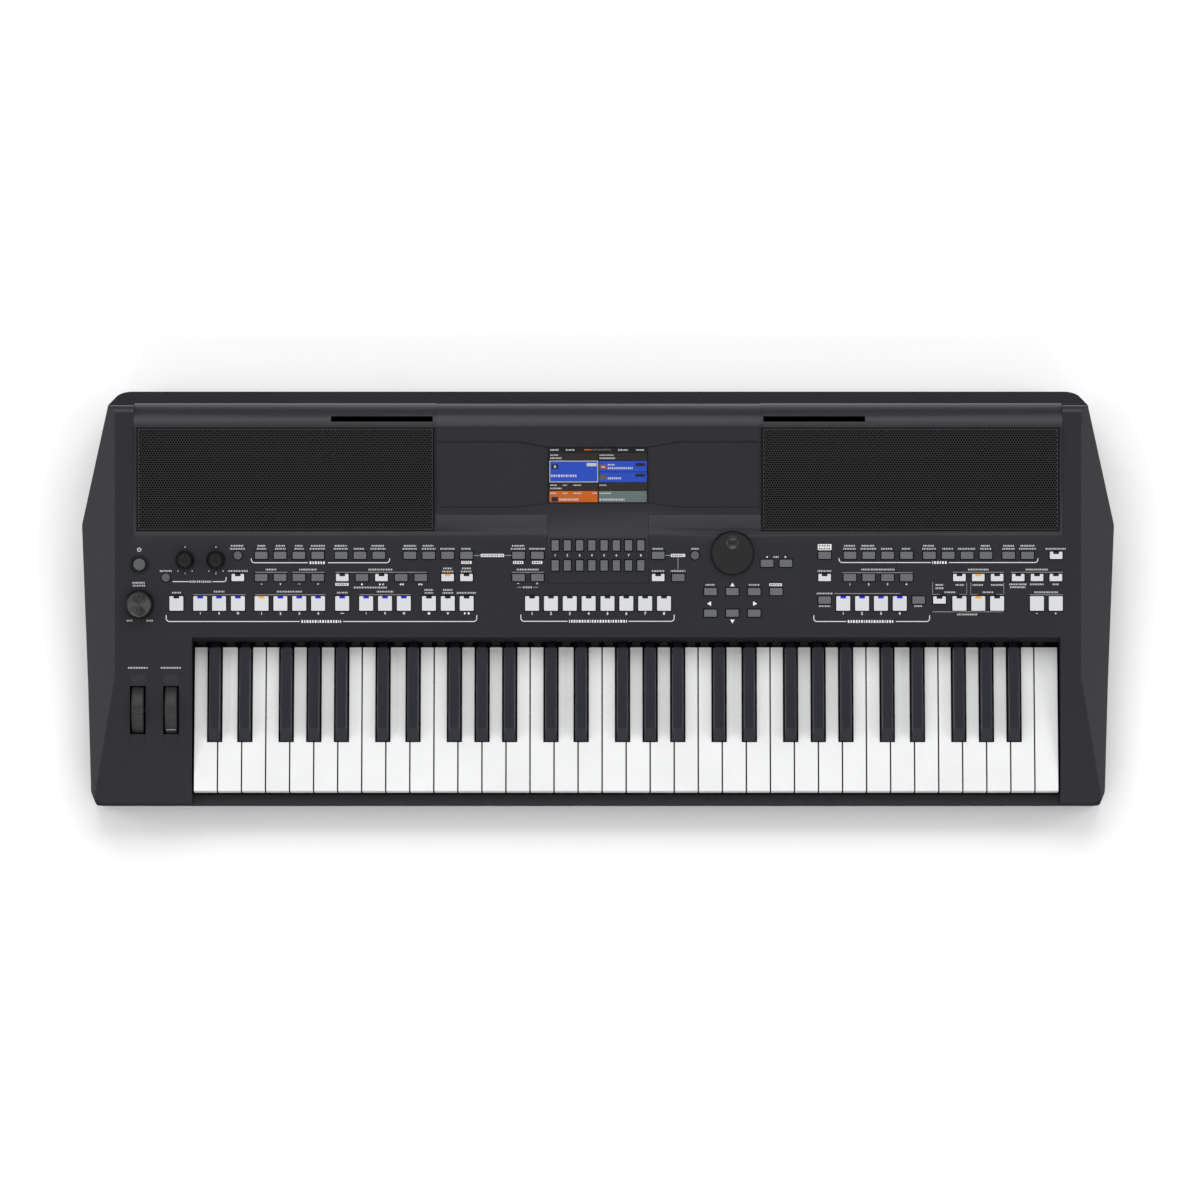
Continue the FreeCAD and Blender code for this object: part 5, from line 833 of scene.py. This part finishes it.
MINUS_SIGNS = [(-325.8, 51.7), (-289.3, 51.7), (425.1, 23.3), (-77.3, 52.2)]
PLUS_SIGNS = [(-307.6, 51.7), (-271.2, 51.7), (443.35, 23.3), (-58.9, 52.2)]
ARROWS = [(130.2, 51.2, 3.6, 1), (130.2, 15.4, 3.6, 3), (107.6, 32.7, 3.8, 2), (152.2, 32.7, 3.8, 0),
          (163.5, 77.9, 1.8, 2), (181.8, 77.9, 1.8, 0), (-211, 51.4, 2, 0), (-191.4, 51.4, 1.9, 2),
          (-189.2, 51.4, 1.9, 2), (-172.8, 51.4, 1.9, 0), (-170.6, 51.4, 1.9, 0), (-128.6, 23.3, 2.2, 0),
          (-145.4, 23, 2.2, 3)]
DOTS_AND_BARS = [(-228.6, 51.4, 1.7, 1.7), (-208.6, 51.4, 0.5, 1.9), (-207.7, 51.4, 0.5, 1.9),
                 (-163.7, 23.3, 2.4, 2.2), (-125.2, 23.3, 2, 2), (-247.7, 23.3, 3.4, 0.6),
                 (-399.9, 87.5, 1, 1), (-406.8, 64.3, 1, 1), (-393, 64.3, 1, 1), (-370, 87.5, 1, 1),
                 (-376.9, 64.3, 1, 1), (-363.1, 64.3, 1, 1)]
for across, up in MINUS_SIGNS:
    ink_line(white_bm, [(across - SIGN_REACH, up), (across + SIGN_REACH, up)], FINE_LINE)
for across, up in PLUS_SIGNS:
    ink_line(white_bm, [(across - SIGN_REACH, up), (across + SIGN_REACH, up)], FINE_LINE)
    ink_line(white_bm, [(across, up - SIGN_REACH), (across, up + SIGN_REACH)], FINE_LINE)
for mark in ARROWS:
    arrow(*mark)
for across, up, width, length in DOTS_AND_BARS:
    corner = DOT_ROUND * min(width, length)
    rounded_plate(white_bm, across, up, INK_LOW, INK_HIGH, width, length, corner, PRINT_EDGE)

POWER_SIGN_ACROSS, POWER_SIGN_UP, POWER_SIGN_RADIUS = -444.3, 85, 1.7
POWER_BAR_LOW, POWER_BAR_HIGH = 85.2, 87.2
power_arc = []
for turn in range(35, 330, 14):
    angle = math.radians(turn)
    power_arc.append((POWER_SIGN_ACROSS + POWER_SIGN_RADIUS * math.sin(angle),
                      POWER_SIGN_UP + POWER_SIGN_RADIUS * math.cos(angle)))
ink_line(white_bm, power_arc, FINE_LINE)
ink_line(white_bm, [(POWER_SIGN_ACROSS, POWER_BAR_LOW), (POWER_SIGN_ACROSS, POWER_BAR_HIGH)], FINE_LINE)

GROUP_LINES = [
    (-331.9, -300.8, 63.1), (-296, -264.9, 63.1), (-254.2, -165.9, 63.1), (-83.5, -52.4, 63.1),
    (236.8, 304.7, 62.7), (343.5, 393, 63.1), (399.8, 450.3, 63.1), (-392, -341.6, 41.3),
    (-331.9, -264, 41.3), (-231, -181.5, 41.3), (418.2, 450.3, 41.3), (229, 293, 42.5), (324.1, 393, 24.8),
    (-120.5, -114.5, 79.4), (-90, -83.9, 79.4), (64.9, 70.2, 79.4), (-78, -73.5, 48.5), (-62.5, -58, 48.5)]
UPRIGHT_LINE = [(77.5, 77.6), (77.5, 66)]
FRAME_HIGH, FRAME_LOW, FRAME_FOOT = 53.4, 41.7, 7
for left, right, up in GROUP_LINES:
    ink_line(grey_bm, [(left, up), (right, up)], FINE_LINE)
ink_line(grey_bm, UPRIGHT_LINE, FINE_LINE)
for left, right in ((324.1, 357.1), (361, 393)):
    ink_line(grey_bm, [(left, FRAME_HIGH), (left, FRAME_LOW)], FRAME_LINE)
    ink_line(grey_bm, [(right, FRAME_HIGH), (right, FRAME_LOW)], FRAME_LINE)
    ink_line(grey_bm, [(left, FRAME_LOW), (left + FRAME_FOOT, FRAME_LOW)], FRAME_LINE)
    ink_line(grey_bm, [(right - FRAME_FOOT, FRAME_LOW), (right, FRAME_LOW)], FRAME_LINE)
for name, bm, ink in (("panel_print_white", white_bm, white_ink), ("panel_print_pale", pale_bm, pale_ink),
                      ("panel_print_grey", grey_bm, grey_ink), ("panel_print_dark", dark_bm, dark_ink)):
    fit(name, mesh_from(name, bm), ink, "case")


# Studio: a pale paper floor, soft lights behind, in front and at the sides, and a camera that looks
# almost straight down. None of it belongs to the keyboard.
FLOOR_REACH, FLOOR_DROP = 6, 0.0002
AIR_STRENGTH = 0.44
floor_mesh = bpy.data.meshes.new("studio_floor")
floor_mesh.from_pydata([(-FLOOR_REACH, -FLOOR_REACH, 0), (FLOOR_REACH, -FLOOR_REACH, 0),
                        (FLOOR_REACH, FLOOR_REACH, 0), (-FLOOR_REACH, FLOOR_REACH, 0)], [], [(0, 1, 2, 3)])
floor = bpy.data.objects.new("studio_floor", floor_mesh)
bpy.context.collection.objects.link(floor)
floor.location.z = -FLOOR_DROP
paper = grained_finish("studio_paper", (0.93, 0.93, 0.93), 0.85, 4, 0.02, 0.2)
paper_tone = node_of(paper, "MIX")
paper_tone.inputs["A"].default_value = (0.925, 0.925, 0.925, 1)
paper_tone.inputs["B"].default_value = (0.94, 0.94, 0.94, 1)
floor_mesh.materials.append(paper)


def soft_light(name, place, aim, width, length, power):
    lamp = bpy.data.lights.new(name, "AREA")
    lamp.shape = "RECTANGLE"
    lamp.size, lamp.size_y = width, length
    lamp.energy = power
    holder = bpy.data.objects.new(name, lamp)
    bpy.context.collection.objects.link(holder)
    holder.location = place
    holder.rotation_euler = (Vector(aim) - Vector(place)).to_track_quat("-Z", "Y").to_euler()


soft_light("rear", (0, 1.6, 2.5), (0, 0, 0), 2.8, 2.0, 50)
soft_light("front", (0, -1.8, 2.4), (0, 0, 0.05), 2.6, 0.4, 20)
soft_light("low", (0, -3.0, 0.75), (0, 0, 0.06), 2.6, 0.4, 14)
soft_light("left", (-2.2, 0, 1.8), (0, 0, 0.05), 1.6, 0.8, 16)
soft_light("right", (2.2, 0, 1.8), (0, 0, 0.05), 1.6, 0.8, 16)
world = bpy.data.worlds.new("studio_air")
bpy.context.scene.world = world
world.use_nodes = True
air = world.node_tree.nodes["Background"]
air.inputs["Color"].default_value = (1, 1, 1, 1)
air.inputs["Strength"].default_value = AIR_STRENGTH
bpy.context.scene.view_settings.view_transform = "Standard"

VIEW_TILT = math.radians(10)
VIEW_DISTANCE = 8.0
LENS_MM, SENSOR_MM = 247.2, 36
VIEW_CENTRE = Vector((0.00195, -0.0088, 0.0779))
camera_lens = bpy.data.cameras.new("photo_camera")
camera_lens.sensor_width = SENSOR_MM
camera_lens.lens = LENS_MM
camera_lens.clip_start, camera_lens.clip_end = 0.05, 50
camera = bpy.data.objects.new("photo_camera", camera_lens)
bpy.context.collection.objects.link(camera)
camera.location = VIEW_CENTRE + Vector((0, -math.sin(VIEW_TILT), math.cos(VIEW_TILT))) * VIEW_DISTANCE
camera.rotation_euler = (VIEW_TILT, 0, 0)
bpy.context.scene.camera = camera
